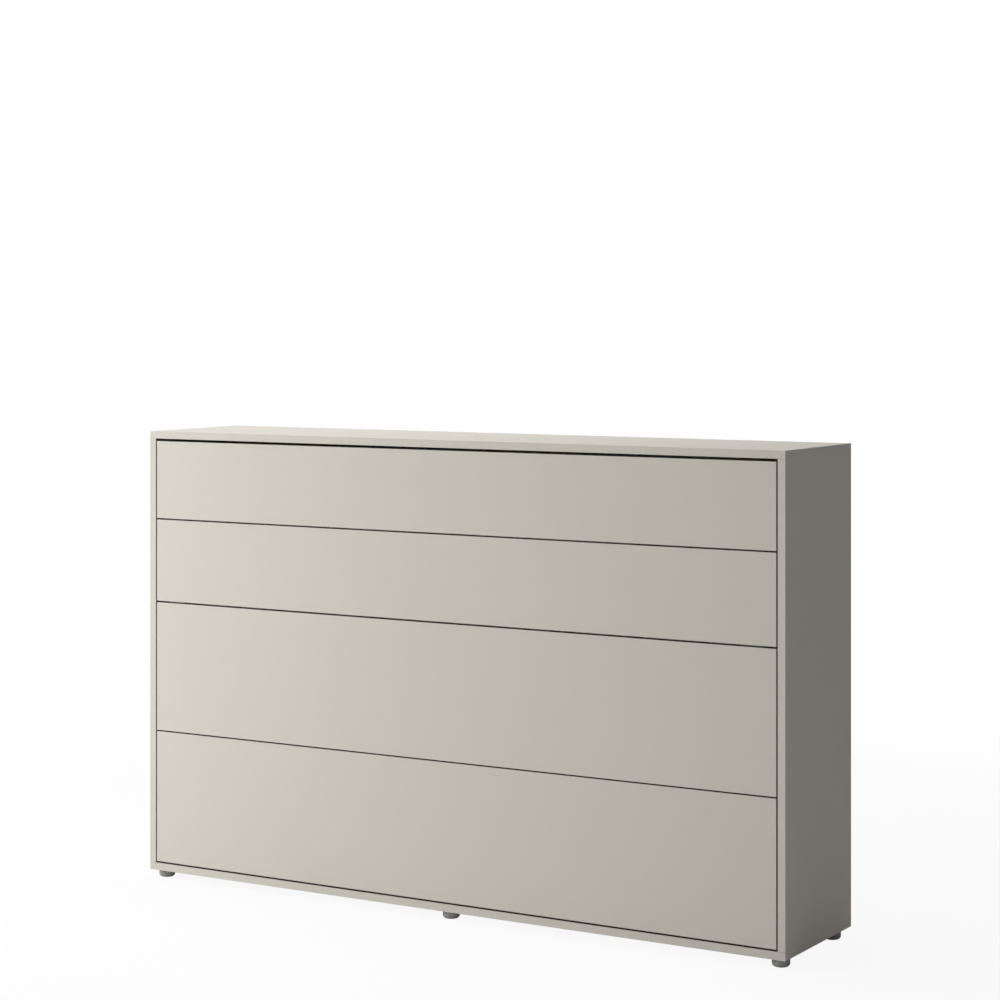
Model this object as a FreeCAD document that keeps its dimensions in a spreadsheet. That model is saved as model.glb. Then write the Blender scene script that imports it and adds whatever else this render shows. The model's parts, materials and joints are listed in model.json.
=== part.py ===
import FreeCAD, Part
import math
import os
import re
import Sketcher

# A cabinet bed: a low, wide cupboard whose whole front folds down into a single bed
# that lies along the wall. All sizes are in millimetres. X runs along the cabinet,
# Y from its front to the wall, and Z up from the floor. The origin lies on the floor,
# under the middle of the cabinet.

V = FreeCAD.Vector
doc = FreeCAD.newDocument("cabinet_bed")

# ---------------------------------------------------------------- driving dimensions

SIZES = {
    # mattress
    "mattress_length": 2000,
    "mattress_width": 1200,
    "mattress_thickness": 180,
    "mattress_corner": 45,
    "mattress_draw_in": 5,
    "mattress_crown": 7,
    "mattress_end_gap": 7,
    "mattress_side_gap": 5,
    "strap_width": 40,
    "strap_thickness": 1.5,
    "strap_place": 450,
    "strap_anchor": 40,
    # cabinet boards
    "board": 22,
    "cabinet_depth": 438,
    "side_zone": 27,
    "back_rail_height": 110,
    "back_stile_width": 80,
    "back_sheet": 3,
    "sheet_joint": 0.6,
    # front panels and the gaps between them, as the closed front shows them
    "front_board": 18,
    "side_gap": 4,
    "top_gap": 7.5,
    "bottom_gap": 5,
    "panel_step": 7.5,
    "leg_panel_height": 248,
    "head_panel_height": 235,
    "butt_joint": 3.5,
    "catch_gap": 4.5,
    "hinge_gap": 4,
    "box_overhang_low": 19.5,
    "box_overhang_high": 20,
    # levelling feet
    "foot_height": 26,
    "foot_radius": 24.5,
    "foot_round": 10,
    "foot_side_inset": 32,
    "foot_front_inset": 43,
    "foot_rear_inset": 58,
    "foot_stem_radius": 5,
    "foot_stem_length": 18,
    "sleeve_radius": 7,
    "sleeve_length": 20,
    # bed frame
    "end_plate": 3,
    "box_depth": 130,
    "box_board": 16,
    "rail_height": 40,
    "rail_depth": 30,
    "cross_rail_depth": 20,
    "rail_wall": 2,
    "rail_cap": 4,
    "rail_setback": 5,
    # slats
    "slat_count": 15,
    "slat_width": 53,
    "slat_thickness": 8,
    "slat_end_gap": 90,
    "holder_wall": 3.5,
    "holder_floor": 1.5,
    "holder_lip": 2,
    "holder_grip": 32,
    "soft_gap": 0.5,
    # main pivot
    "pivot_setback": 38,
    "pivot_pin_radius": 8,
    "pivot_shoulder_radius": 12,
    "bush_wall": 2,
    "bush_flange": 3,
    "bush_flange_thickness": 1.5,
    "clip_width": 3,
    "clip_thickness": 2,
    "pivot_plate": 2.5,
    "pivot_plate_front": 17,
    "pivot_plate_rear": 55,
    "pivot_plate_end": 60,
    "bracket_plate": 3,
    "bracket_rim": 20,
    # gas struts
    "strut_arm": 120,
    "strut_arm_angle": 70,
    "strut_hang": 400,
    "strut_eye_radius": 8,
    "strut_eye_width": 10,
    "strut_tube_radius": 9,
    "strut_tube_wall": 1.5,
    "strut_rod_radius": 4,
    "strut_stud_radius": 4,
    "strut_stud_collar": 7,
    "strut_neck": 14,
    "strut_end_room": 36,
    "strut_cap": 6,
    # fold-out leg
    "hinge_inset": 1.6,
    "knuckle_radius": 1.5,
    "hinge_pin_radius": 0.8,
    "leaf_thickness": 1,
    "leaf_cut_back": 1.9,
    "hinge_length": 100,
    "hinge_tongue": 33,
    "hinge_end_gap": 83,
    "hinge_count": 6,
    "stay_radius": 150,
    "stay_bar": 12,
    "stay_thickness": 3,
    "stay_guide_depth": 28.4,
    "stay_guide_half": 7,
    "stay_guide_height": 30,
    "stay_head_radius": 7,
    "stay_lug": 2.5,
    "glide_height": 3.6,
    "glide_length": 60,
    "glide_width": 12,
    "glide_end_gap": 73,
    "magnet_length": 44,
    "magnet_height": 30,
    "magnet_depth": 16,
    "magnet_place": 600,
    "strike_thickness": 1.2,
    "strike_height": 20,
    # stops
    "stop_drop": 84,
    "stop_height": 40,
    "buffer_radius": 7,
    "buffer_length": 5.7,
    "stop_plate": 2.5,
    # fasteners
    "dowel_radius": 4,
    "dowel_length": 32,
    "dowel_depth": 12,
    "cam_radius": 7.5,
    "cam_depth": 12.5,
    "cam_reach": 34,
    "cam_bolt_radius": 3,
    "screw_radius": 2,
    "screw_head_radius": 4,
    "screw_head": 2,
    "screw_bite": 12,
    "frame_bolt_radius": 3,
    "frame_bolt_head_radius": 5.5,
    "frame_bolt_head": 2.5,
    "frame_bolt_reach": 15,
    "euro_screw_radius": 3,
    "euro_head_radius": 5,
    "euro_head": 1.5,
    "euro_bite": 13,
    "wall_hole_radius": 4,
    "wall_hole_place": 850,
    # fits
    "running_fit": 0.05,
    "free_gap": 0.4,
    "side_play": 0.5,
}

# Places that follow from the driving dimensions.
PLACES = {
    "end_in": "mattress_length / 2 + mattress_end_gap",
    "end_out": "end_in + end_plate",
    "inner_half": "end_out + side_zone",
    "half_width": "inner_half + board",
    "front_half": "inner_half - side_gap",
    "front_y": "-cabinet_depth / 2",
    "front_in_y": "front_y + front_board",
    "wall_y": "cabinet_depth / 2",
    "back_y": "wall_y - board",
    "sheet_y": "back_y - back_sheet",
    "base_top": "foot_height + board",
    "front_bottom": "base_top + bottom_gap",
    "box_bottom": "front_bottom + box_overhang_low",
    "box_floor": "box_bottom + box_board",
    "mattress_low": "box_floor + mattress_side_gap",
    "mattress_high": "mattress_low + mattress_width",
    "box_ceiling": "mattress_high + mattress_side_gap",
    "box_top": "box_ceiling + box_board",
    "front_top": "box_top + box_overhang_high",
    "ceiling_z": "front_top + top_gap",
    "cabinet_top": "ceiling_z + board",
    # The two lowest panels share the height that the leg and the head panel leave.
    "low_panels": (
        "front_top - front_bottom - leg_panel_height - head_panel_height"
        " - butt_joint - catch_gap - hinge_gap"
    ),
    "foot_panel_top": "front_bottom + (low_panels + panel_step) / 2",
    "middle_bottom": "foot_panel_top + butt_joint",
    "middle_top": "middle_bottom + (low_panels - panel_step) / 2",
    "leg_bottom": "middle_top + catch_gap",
    "leg_top": "leg_bottom + leg_panel_height",
    "head_panel_bottom": "leg_top + hinge_gap",
    "hinge_y": "front_y + hinge_inset",
    "hinge_z": "leg_top + hinge_gap / 2",
    "pivot_y": "front_y + pivot_setback",
    # The open bed stands on the unfolded leg, so the leg's height sets the pivot's.
    "pivot_z": "glide_height + leg_panel_height + hinge_gap / 2 + pivot_setback - hinge_inset",
    "slat_pitch": "(mattress_length - 2 * slat_end_gap) / (slat_count - 1)",
    "hinge_pitch": "2 * (front_half - hinge_end_gap) / (hinge_count - 1)",
    "glide_place": "(front_half - glide_end_gap) / 3",
    "rail_back_y": "front_in_y + rail_depth",
    "cross_back_y": "front_in_y + cross_rail_depth",
    "slat_front_y": "rail_back_y + holder_floor",
    "slat_back_y": "slat_front_y + slat_thickness",
    "holder_back_y": "slat_back_y + holder_lip",
    "mattress_front_y": "holder_back_y + soft_gap",
    "mattress_back_y": "mattress_front_y + mattress_thickness",
    "box_back_y": "front_in_y + box_depth",
    "joint_rail_z": "middle_bottom - butt_joint / 2",
    "hinge_rail_z": "head_panel_bottom + rail_setback + rail_height / 2",
    "catch_rail_z": "middle_top - rail_setback - rail_height / 2",
    "lower_rail_z": "box_floor + rail_height / 2",
    "upper_rail_z": "box_ceiling - rail_height / 2",
    "plate_in": "inner_half - pivot_plate",
    "bracket_out": "end_out + bracket_plate",
    "strut_x": "(bracket_out + plate_in) / 2",
    "strut_top_z": "pivot_z + strut_hang",
    "strut_low_y": "strut_arm * cos(strut_arm_angle)",
    "strut_low_z": "-strut_arm * sin(strut_arm_angle)",
    "strut_long": "sqrt(strut_low_y ^ 2 + (strut_hang - strut_low_z) ^ 2)",
    "strut_short": "sqrt(strut_low_z ^ 2 + (strut_hang - strut_low_y) ^ 2)",
    "strut_tube_end": "strut_short - strut_end_room",
    "strut_lean": "asin(strut_low_y / strut_long)",
    "stay_x": "bracket_out + (front_half - bracket_out) / 2",
    "stay_guide_angle": "asin(stay_guide_depth / stay_radius)",
    "stay_root_angle": "asin((front_board - hinge_inset) / (stay_radius - stay_bar / 2))",
    # The stay's head stops just short of the guide's back face when the leg is unfolded.
    "stay_stop_angle": (
        "asin((stay_guide_depth + stay_guide_half + stay_head_radius + free_gap) / stay_radius)"
    ),
    "stay_head_angle": "90 + stay_stop_angle",
    "stay_guide_z": "hinge_z - stay_radius * cos(stay_guide_angle)",
    "stop_z": "front_top - stop_drop",
    "foot_x": "half_width - foot_side_inset",
    "foot_front_y": "front_y + foot_front_inset",
    "foot_rear_y": "wall_y - foot_rear_inset",
}

sheet = doc.addObject("Spreadsheet::Sheet", "Sizes")
for row, (name, number) in enumerate(SIZES.items(), start=1):
    sheet.set(f"A{row}", name)
    sheet.set(f"B{row}", str(number))
    sheet.setAlias(f"B{row}", name)
doc.recompute()

places = doc.addObject("App::VarSet", "Places")


def formula(text):
    """Point each name in a formula at its cell or its place."""
    def full_name(match):
        word = match.group(0)
        if word in SIZES:
            return "Sizes." + word
        if word in PLACES:
            return "Places." + word
        return word
    return re.sub(r"[a-z][a-z0-9_]*", full_name, text)


def bind(item, path, text):
    item.setExpression(path, formula(text))


def value(text):
    """The number that a formula gives now."""
    result = places.evalExpression(formula(text))
    return float(getattr(result, "Value", result))


for name, text in PLACES.items():
    places.addProperty("App::PropertyFloat", name, "Places")
    bind(places, name, text)
doc.recompute()

# ---------------------------------------------------------------- building blocks

sub_parts = []


def keep(item, node):
    """Name a finished sub-part and put it on the list that is written out."""
    item.Label = node
    sub_parts.append(item)
    return item


def block(name, x, y, z):
    """A box between a low and a high end on each axis."""
    item = doc.addObject("Part::Box", name)
    for prop, axis, ends in (("Length", "x", x), ("Width", "y", y), ("Height", "z", z)):
        bind(item, prop, f"({ends[1]}) - ({ends[0]})")
        bind(item, f"Placement.Base.{axis}", ends[0])
    return item


TURNS = {
    "x": FreeCAD.Rotation(V(0, 1, 0), 90),
    "y": FreeCAD.Rotation(V(1, 0, 0), -90),
    "z": FreeCAD.Rotation(),
}


def rod(name, axis, radius, along, across):
    """A cylinder along an axis, between two ends, at two places across it."""
    item = doc.addObject("Part::Cylinder", name)
    item.Placement = FreeCAD.Placement(V(), TURNS[axis])
    bind(item, "Radius", radius)
    bind(item, "Height", f"({along[1]}) - ({along[0]})")
    bind(item, f"Placement.Base.{axis}", along[0])
    others = [name for name in "xyz" if name != axis]
    for other, text in zip(others, across):
        bind(item, f"Placement.Base.{other}", text)
    return item


def group(name, items):
    item = doc.addObject("Part::Compound", name)
    item.Links = items
    return item


def fuse(name, items):
    item = doc.addObject("Part::MultiFuse", name)
    item.Shapes = items
    return item


def cut(name, base, tools):
    item = doc.addObject("Part::Cut", name)
    item.Base = base
    item.Tool = tools[0] if len(tools) == 1 else group(name + "_tools", tools)
    return item


def mirrored(name, source):
    """The same piece on the other side of the cabinet."""
    item = doc.addObject("Part::Mirroring", name)
    item.Source = source
    item.Normal = V(1, 0, 0)
    return item


def pair(name, source):
    return group(name, [source, mirrored(name + "_other", source)])


def new_body(name):
    return doc.addObject("PartDesign::Body", name)


def origin_part(body, role):
    return [item for item in body.Origin.OriginFeatures if item.Role == role][0]


def sketch_on(body, plane, offset, name):
    """A sketch on one of the body's own planes, moved along the plane's normal."""
    item = body.newObject("Sketcher::SketchObject", name)
    item.AttachmentSupport = [(origin_part(body, plane), "")]
    item.MapMode = "FlatFace"
    bind(item, "AttachmentOffset.Base.z", offset)
    return item


def limit(sketch, kind, places_of, text):
    """A dimension in a sketch that follows a formula."""
    row = sketch.addConstraint(Sketcher.Constraint(kind, *places_of, value(text)))
    sketch.renameConstraint(row, f"{kind.lower()}_{row}")
    bind(sketch, f"Constraints.{kind.lower()}_{row}", text)


def fix_point(sketch, edge, end, across, up):
    """Hold an edge's end (1 start, 2 end, 3 centre) at its distances from the origin."""
    limit(sketch, "DistanceX", (-1, 1, edge, end), across)
    limit(sketch, "DistanceY", (-1, 1, edge, end), up)


def outline(sketch, corners):
    """A closed outline of straight edges through corners given as formulas."""
    spots = [V(value(across), value(up), 0) for across, up in corners]
    first = sketch.GeometryCount
    count = len(corners)
    for index in range(count):
        sketch.addGeometry(Part.LineSegment(spots[index], spots[(index + 1) % count]))
    for index in range(count):
        following = first + (index + 1) % count
        sketch.addConstraint(Sketcher.Constraint("Coincident", first + index, 2, following, 1))
    for index, (across, up) in enumerate(corners):
        fix_point(sketch, first + index, 1, across, up)


def rectangle(sketch, across, up):
    low, high = up
    outline(sketch, [(across[0], low), (across[1], low), (across[1], high), (across[0], high)])


def circle(sketch, across, up, radius):
    centre = V(value(across), value(up), 0)
    edge = sketch.addGeometry(Part.Circle(centre, V(0, 0, 1), value(radius)))
    fix_point(sketch, edge, 3, across, up)
    limit(sketch, "Radius", (edge,), radius)


def pad(body, sketch, length):
    item = body.newObject("PartDesign::Pad", sketch.Name + "_pad")
    item.Profile = sketch
    bind(item, "Length", length)
    return item


def repeat(body, features, axis, span, count):
    """Copies of a body's features in a row along one of its axes."""
    item = body.newObject("PartDesign::LinearPattern", body.Name + "_row")
    item.Originals = features
    item.Direction = (origin_part(body, axis), [""])
    bind(item, "Length", span)
    bind(item, "Occurrences", count)
    body.Tip = item
    return item


# ---------------------------------------------------------------- carcass fasteners


def corner_joints():
    """Dowels, cam bolts and cam discs that hold the sides to the top and the bottom."""
    dowels = []
    bolts = []
    cams = []
    centre_x = "inner_half + board / 2"
    joints = (
        ("top", "ceiling_z + dowel_depth", -1),
        ("base", "base_top - dowel_depth", 1),
    )
    for side, sign in (("left", "-"), ("right", "")):
        x = f"{sign}({centre_x})"
        face = ("inner_half", "inner_half + cam_depth")
        if sign:
            face = ("-inner_half - cam_depth", "-inner_half")
        for level, start, way in joints:
            for index, spot in enumerate(("-wall_y + 2 * board", "0", "wall_y - 2 * board")):
                ends = (start, f"{start} + dowel_length")
                if way < 0:
                    ends = (f"{start} - dowel_length", start)
                dowels.append(rod(f"dowel_{side}_{level}_{index}", "z", "dowel_radius", ends, (x, spot)))
            for index, spot in enumerate(("-wall_y / 2", "wall_y / 2")):
                middle = f"{start} + cam_reach" if way > 0 else f"{start} - cam_reach"
                near = f"{middle} - cam_radius" if way > 0 else f"{middle} + cam_radius"
                ends = (start, near) if way > 0 else (near, start)
                bolts.append(rod(f"cam_bolt_{side}_{level}_{index}", "z", "cam_bolt_radius", ends, (x, spot)))
                cams.append(rod(f"cam_{side}_{level}_{index}", "x", "cam_radius", face, (spot, middle)))
    return dowels, bolts, cams


def rail_dowels():
    """Dowels at the ends of the back rails and of the stile between them."""
    dowels = []
    y = "back_y + board / 2"
    for level, low in (("upper", "ceiling_z - back_rail_height"), ("lower", "base_top")):
        for share in (1, 3):
            z = f"{low} + back_rail_height * {share} / 4"
            for side, sign in (("left", "-"), ("right", "")):
                ends = ("inner_half + dowel_depth - dowel_length", "inner_half + dowel_depth")
                if sign:
                    ends = (f"-({ends[1]})", f"-({ends[0]})")
                dowels.append(rod(f"rail_dowel_{level}_{side}_{share}", "x", "dowel_radius", ends, (y, z)))
    for level, z in (("upper", "ceiling_z - back_rail_height"), ("lower", "base_top + back_rail_height")):
        ends = (f"{z} - dowel_length / 2", f"{z} + dowel_length / 2")
        for side, x in (("left", "-back_stile_width / 4"), ("right", "back_stile_width / 4")):
            dowels.append(rod(f"stile_dowel_{level}_{side}", "z", "dowel_radius", ends, (x, y)))
    return dowels


corner_dowels, corner_bolts, corner_cams = corner_joints()
carcass_dowels = keep(group("dowels", corner_dowels + rail_dowels()), "carcass_dowels")
cam_holes = group("cam_holes", corner_cams)
cam_bolts = group("cam_bolt_group", corner_bolts)
keep(group("cam_fitting_group", corner_cams + corner_bolts), "cam_fittings")

# ---------------------------------------------------------------- levelling feet

FEET = {
    "front_left": ("-foot_x", "foot_front_y"),
    "front_middle": ("0", "foot_front_y"),
    "front_right": ("foot_x", "foot_front_y"),
    "rear_left": ("-foot_x", "foot_rear_y"),
    "rear_middle": ("0", "foot_rear_y"),
    "rear_right": ("foot_x", "foot_rear_y"),
}


def levelling_foot(name, x, y):
    """A round foot turned about its threaded stem, just clear of the base board."""
    body = new_body(f"foot_{name}")
    profile = sketch_on(body, "XZ_Plane", "0", f"foot_{name}_profile")
    shoulder = "foot_height - free_gap"
    round_mid = "foot_radius - foot_round * (1 - sqrt(0.5))"
    spots = [
        ("0", "0"),
        ("foot_radius - foot_round", "0"),
        (round_mid, "foot_round * (1 - sqrt(0.5))"),
        ("foot_radius", "foot_round"),
        ("foot_radius", shoulder),
        ("foot_stem_radius", shoulder),
        ("foot_stem_radius", "foot_height + foot_stem_length"),
        ("0", "foot_height + foot_stem_length"),
    ]
    corners = [V(value(across), value(up), 0) for across, up in spots]
    arc = Part.Arc(corners[1], corners[2], corners[3])
    profile.addGeometry(Part.LineSegment(corners[0], corners[1]))
    profile.addGeometry(arc)
    for start in range(3, len(corners)):
        profile.addGeometry(Part.LineSegment(corners[start], corners[(start + 1) % len(corners)]))
    # The arc runs anticlockwise, from the flat underside up to the foot's wall.
    for edge in range(profile.GeometryCount):
        following = (edge + 1) % profile.GeometryCount
        profile.addConstraint(Sketcher.Constraint("Coincident", edge, 2, following, 1))
    for edge, spot in ((0, 0), (1, 1), (2, 3), (3, 4), (4, 5), (5, 6), (6, 7)):
        fix_point(profile, edge, 1, *spots[spot])
    limit(profile, "Radius", (1,), "foot_round")
    turned = body.newObject("PartDesign::Revolution", f"foot_{name}_turned")
    turned.Profile = profile
    turned.ReferenceAxis = (profile, ["V_Axis"])
    turned.Angle = 360
    bind(body, "Placement.Base.x", x)
    bind(body, "Placement.Base.y", y)
    return keep(body, f"foot_{name}")


for foot_name, foot_spot in FEET.items():
    levelling_foot(foot_name, *foot_spot)


def sleeve_rods(name, radius):
    ends = ("foot_height", "foot_height + sleeve_length")
    return group(name, [rod(f"{name}_{key}", "z", radius, ends, spot) for key, spot in FEET.items()])


sleeve_blanks = sleeve_rods("sleeve_blank", "sleeve_radius")
foot_sleeves = keep(
    cut(
        "sleeves",
        sleeve_blanks,
        [sleeve_rods("sleeve_bore", "foot_stem_radius + running_fit")],
    ),
    "foot_sleeves",
)

# ---------------------------------------------------------------- pivot plates and struts

PLATE_LOW = "pivot_z - pivot_plate_end"
PLATE_HIGH = "strut_top_z + pivot_plate_end"
PLATE_SCREW_LOW = f"({PLATE_LOW} + 2 * euro_head_radius)"
PLATE_SCREW_HIGH = f"({PLATE_HIGH} - 2 * euro_head_radius)"
PLATE_ROWS = 4
PLATE_COLUMNS = ("pivot_y + pivot_plate_rear - 2 * euro_head_radius", "pivot_y - euro_head_radius")


def plate_screw_rods(name, radius, start, end):
    rods = []
    for column, y in enumerate(PLATE_COLUMNS):
        for row in range(PLATE_ROWS):
            share = f"{row} / {PLATE_ROWS - 1}"
            z = f"{PLATE_SCREW_LOW} + {share} * ({PLATE_SCREW_HIGH} - {PLATE_SCREW_LOW})"
            rods.append(rod(f"{name}_{column}_{row}", "x", radius, (start, end), (y, z)))
    return rods


plate_screw_heads = plate_screw_rods("plate_head", "euro_head_radius", "plate_in", "plate_in + euro_head")
plate_screw_shanks = plate_screw_rods(
    "plate_shank", "euro_screw_radius", "plate_in + euro_head", "inner_half + euro_bite"
)
plate_screw_side = group(
    "plate_screw_side",
    [
        fuse(f"plate_screw_{index}", [head, shank])
        for index, (head, shank) in enumerate(zip(plate_screw_heads, plate_screw_shanks))
    ],
)
plate_screws = keep(pair("plate_screw_pair", plate_screw_side), "pivot_plate_screws")

plate_blank = block(
    "plate_blank",
    ("plate_in", "inner_half"),
    ("pivot_y - pivot_plate_front", "pivot_y + pivot_plate_rear"),
    (PLATE_LOW, PLATE_HIGH),
)
keep(pair("plate_pair", cut("plate_right", plate_blank, [plate_screw_side])), "pivot_plates")

PIVOT = ("pivot_y", "pivot_z")
CLIP_OUT = "end_in - side_play"
FLANGE_OUT = "bracket_out + bush_flange_thickness"

pivot_pin = fuse(
    "pivot_pin",
    [
        rod("pin_shaft", "x", "pivot_pin_radius", ("end_in - end_plate", "plate_in"), PIVOT),
        rod("pin_shoulder", "x", "pivot_shoulder_radius", (f"{FLANGE_OUT} + side_play", "plate_in"), PIVOT),
    ],
)
keep(pair("pivot_pin_pair", pivot_pin), "pivot_pins")

pivot_clip = cut(
    "pivot_clip",
    rod(
        "clip_blank", "x", "pivot_pin_radius + clip_width", (f"{CLIP_OUT} - clip_thickness", CLIP_OUT), PIVOT
    ),
    [rod("clip_bore", "x", "pivot_pin_radius", ("end_in - 2 * end_plate", "end_out"), PIVOT)],
)
keep(pair("pivot_clip_pair", pivot_clip), "pivot_clips")

pivot_bush = cut(
    "pivot_bush",
    fuse(
        "bush_blank",
        [
            rod("bush_sleeve", "x", "pivot_pin_radius + bush_wall", ("end_in", "bracket_out"), PIVOT),
            rod(
                "bush_rim",
                "x",
                "pivot_pin_radius + bush_wall + bush_flange",
                ("bracket_out", FLANGE_OUT),
                PIVOT,
            ),
        ],
    ),
    [rod("bush_bore", "x", "pivot_pin_radius + running_fit", ("end_in - end_plate", "plate_in"), PIVOT)],
)
keep(pair("pivot_bush_pair", pivot_bush), "pivot_bushes")

STRUT_TOP = ("pivot_y", "strut_top_z")
EYE_IN = "strut_x - strut_eye_width / 2"
EYE_OUT = "strut_x + strut_eye_width / 2"

UPPER_SHANK = (f"{EYE_IN} - clip_thickness", "plate_in")
UPPER_COLLAR = (f"{EYE_OUT} + side_play", "plate_in")
upper_stud = fuse(
    "upper_stud",
    [
        rod("upper_stud_shank", "x", "strut_stud_radius", UPPER_SHANK, STRUT_TOP),
        rod("upper_stud_collar", "x", "strut_stud_collar", UPPER_COLLAR, STRUT_TOP),
        rod(
            "upper_stud_head",
            "x",
            "strut_stud_collar",
            (f"{EYE_IN} - side_play - clip_thickness", f"{EYE_IN} - side_play"),
            STRUT_TOP,
        ),
    ],
)
keep(pair("upper_stud_pair", upper_stud), "strut_studs_upper")

STRUT_LOW = ("pivot_y + strut_low_y", "pivot_z + strut_low_z")
LOWER_SHANK = ("end_out", f"{EYE_IN} - side_play")
LOWER_COLLAR = ("bracket_out", f"{EYE_IN} - clip_thickness")
lower_stud = fuse(
    "lower_stud",
    [
        rod("lower_stud_shank", "x", "strut_stud_radius", LOWER_SHANK, STRUT_LOW),
        rod("lower_stud_collar", "x", "strut_stud_collar", LOWER_COLLAR, STRUT_LOW),
    ],
)
keep(pair("lower_stud_pair", lower_stud), "strut_studs_lower")


def place_strut(item):
    """Hang a strut piece, drawn straight down from its eye, on the upper stud."""
    item.Placement = FreeCAD.Placement(V(), FreeCAD.Rotation(V(1, 0, 0), 1))
    bind(item, "Placement.Base.x", "strut_x")
    bind(item, "Placement.Base.y", "pivot_y")
    bind(item, "Placement.Base.z", "strut_top_z")
    bind(item, "Placement.Rotation.Angle", "strut_lean")


def strut_eye(name, low):
    """The ring at a strut's end, across the cabinet."""
    ends = ("-strut_eye_width / 2", "strut_eye_width / 2")
    return rod(name, "x", "strut_eye_radius", ends, ("0", low))


def strut_tube():
    eye_bore = rod(
        "tube_eye_bore",
        "x",
        "strut_stud_radius + running_fit",
        ("-strut_eye_width", "strut_eye_width"),
        ("0", "0"),
    )
    solid = fuse(
        "tube_solid",
        [
            strut_eye("tube_eye", "0"),
            rod("tube_neck", "z", "strut_rod_radius", ("-strut_neck", "0"), ("0", "0")),
            rod("tube_wall", "z", "strut_tube_radius", ("-strut_tube_end", "-strut_neck"), ("0", "0")),
        ],
    )
    chamber = rod(
        "tube_chamber",
        "z",
        "strut_tube_radius - strut_tube_wall",
        ("strut_cap - strut_tube_end", "-strut_neck - strut_cap"),
        ("0", "0"),
    )
    rod_bore = rod(
        "tube_rod_bore",
        "z",
        "strut_rod_radius + running_fit",
        ("-strut_tube_end - strut_cap", "2 * strut_cap - strut_tube_end"),
        ("0", "0"),
    )
    hollow = fuse("tube_hollow", [chamber, rod_bore])
    item = cut("tube", solid, [group("tube_cuts", [hollow, eye_bore])])
    place_strut(item)
    return item


def strut_rod():
    top = "strut_cap * 4 - strut_tube_end"
    solid = fuse(
        "rod_solid",
        [
            strut_eye("rod_eye", "-strut_long"),
            rod(
                "rod_end",
                "z",
                "strut_rod_radius + bush_wall",
                ("-strut_long", "strut_neck - strut_long"),
                ("0", "0"),
            ),
            rod("rod_bar", "z", "strut_rod_radius", ("-strut_long", top), ("0", "0")),
            rod(
                "rod_piston",
                "z",
                "strut_tube_radius - strut_tube_wall - running_fit",
                (f"{top} - strut_cap", top),
                ("0", "0"),
            ),
        ],
    )
    eye_bore = rod(
        "rod_eye_bore",
        "x",
        "strut_stud_radius + running_fit",
        ("-strut_eye_width", "strut_eye_width"),
        ("0", "-strut_long"),
    )
    item = cut("rod", solid, [eye_bore])
    place_strut(item)
    return item


tube_right = keep(strut_tube(), "strut_tube_right")
rod_right = keep(strut_rod(), "strut_rod_right")
keep(mirrored("tube_left", tube_right), "strut_tube_left")
keep(mirrored("rod_left", rod_right), "strut_rod_left")

# ---------------------------------------------------------------- stops

STOP_FRONT = "front_in_y + free_gap + buffer_length"
stop_bracket = fuse(
    "stop_bracket",
    [
        block(
            "stop_foot",
            ("inner_half - stop_plate", "inner_half"),
            (STOP_FRONT, f"{STOP_FRONT} + stop_height"),
            ("stop_z - stop_height / 2", "stop_z + stop_height / 2"),
        ),
        block(
            "stop_ear",
            ("strut_x - buffer_radius", "inner_half"),
            (STOP_FRONT, f"{STOP_FRONT} + stop_plate"),
            ("stop_z - stop_height / 2", "stop_z + stop_height / 2"),
        ),
    ],
)
STOP_SCREWS = [
    (f"{STOP_FRONT} + stop_height * 0.6", f"stop_z {sign} stop_height / 4") for sign in ("-", "+")
]


def stop_screw(index, spot):
    head = rod(
        f"stop_head_{index}",
        "x",
        "screw_head_radius",
        ("inner_half - stop_plate - screw_head", "inner_half - stop_plate"),
        spot,
    )
    shank = rod(
        f"stop_shank_{index}",
        "x",
        "screw_radius",
        ("inner_half - stop_plate", "inner_half + screw_bite"),
        spot,
    )
    return fuse(f"stop_screw_{index}", [head, shank])


stop_screw_side = group("stop_screw_side", [stop_screw(i, spot) for i, spot in enumerate(STOP_SCREWS)])
stop_screws = pair("stop_screw_pair", stop_screw_side)
stop_cut = cut("stop_cut", stop_bracket, [stop_screw_side])
keep(pair("stop_pair", stop_cut), "stop_brackets")
stop_buffer = rod(
    "stop_buffer", "y", "buffer_radius", ("front_in_y + free_gap", STOP_FRONT), ("strut_x", "stop_z")
)
keep(pair("stop_buffer_pair", stop_buffer), "stop_buffers")

# ---------------------------------------------------------------- carcass boards

DEPTH = ("front_y", "wall_y")


def wall_holes(name, levels):
    """Bores for the four screws that hold the cabinet to the wall."""
    rods = []
    for side, x in (("left", "-wall_hole_place"), ("right", "wall_hole_place")):
        for level in levels:
            z = "base_top + back_rail_height / 2" if level == "lower" else "ceiling_z - back_rail_height / 2"
            ends = ("sheet_y - board", "wall_y + board")
            rods.append(rod(f"{name}_{side}_{level}", "y", "wall_hole_radius", ends, (x, z)))
    return rods


top_blank = block("top_blank", ("-half_width", "half_width"), DEPTH, ("ceiling_z", "cabinet_top"))
keep(cut("top", top_blank, [carcass_dowels, cam_bolts]), "top_panel")

base_blank = block("base_blank", ("-half_width", "half_width"), DEPTH, ("foot_height", "base_top"))
keep(cut("base", base_blank, [carcass_dowels, cam_bolts, sleeve_blanks]), "bottom_panel")

SIDES = {"left": ("-half_width", "-inner_half"), "right": ("inner_half", "half_width")}
for side_name, side_ends in SIDES.items():
    side_blank = block(f"side_blank_{side_name}", side_ends, DEPTH, ("base_top", "ceiling_z"))
    side_bored = cut(f"side_bored_{side_name}", side_blank, [carcass_dowels, cam_holes])
    side_drilled = cut(f"side_drilled_{side_name}", side_bored, [cam_bolts, plate_screws, stop_screws])
    keep(side_drilled, f"side_panel_{side_name}")


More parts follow.
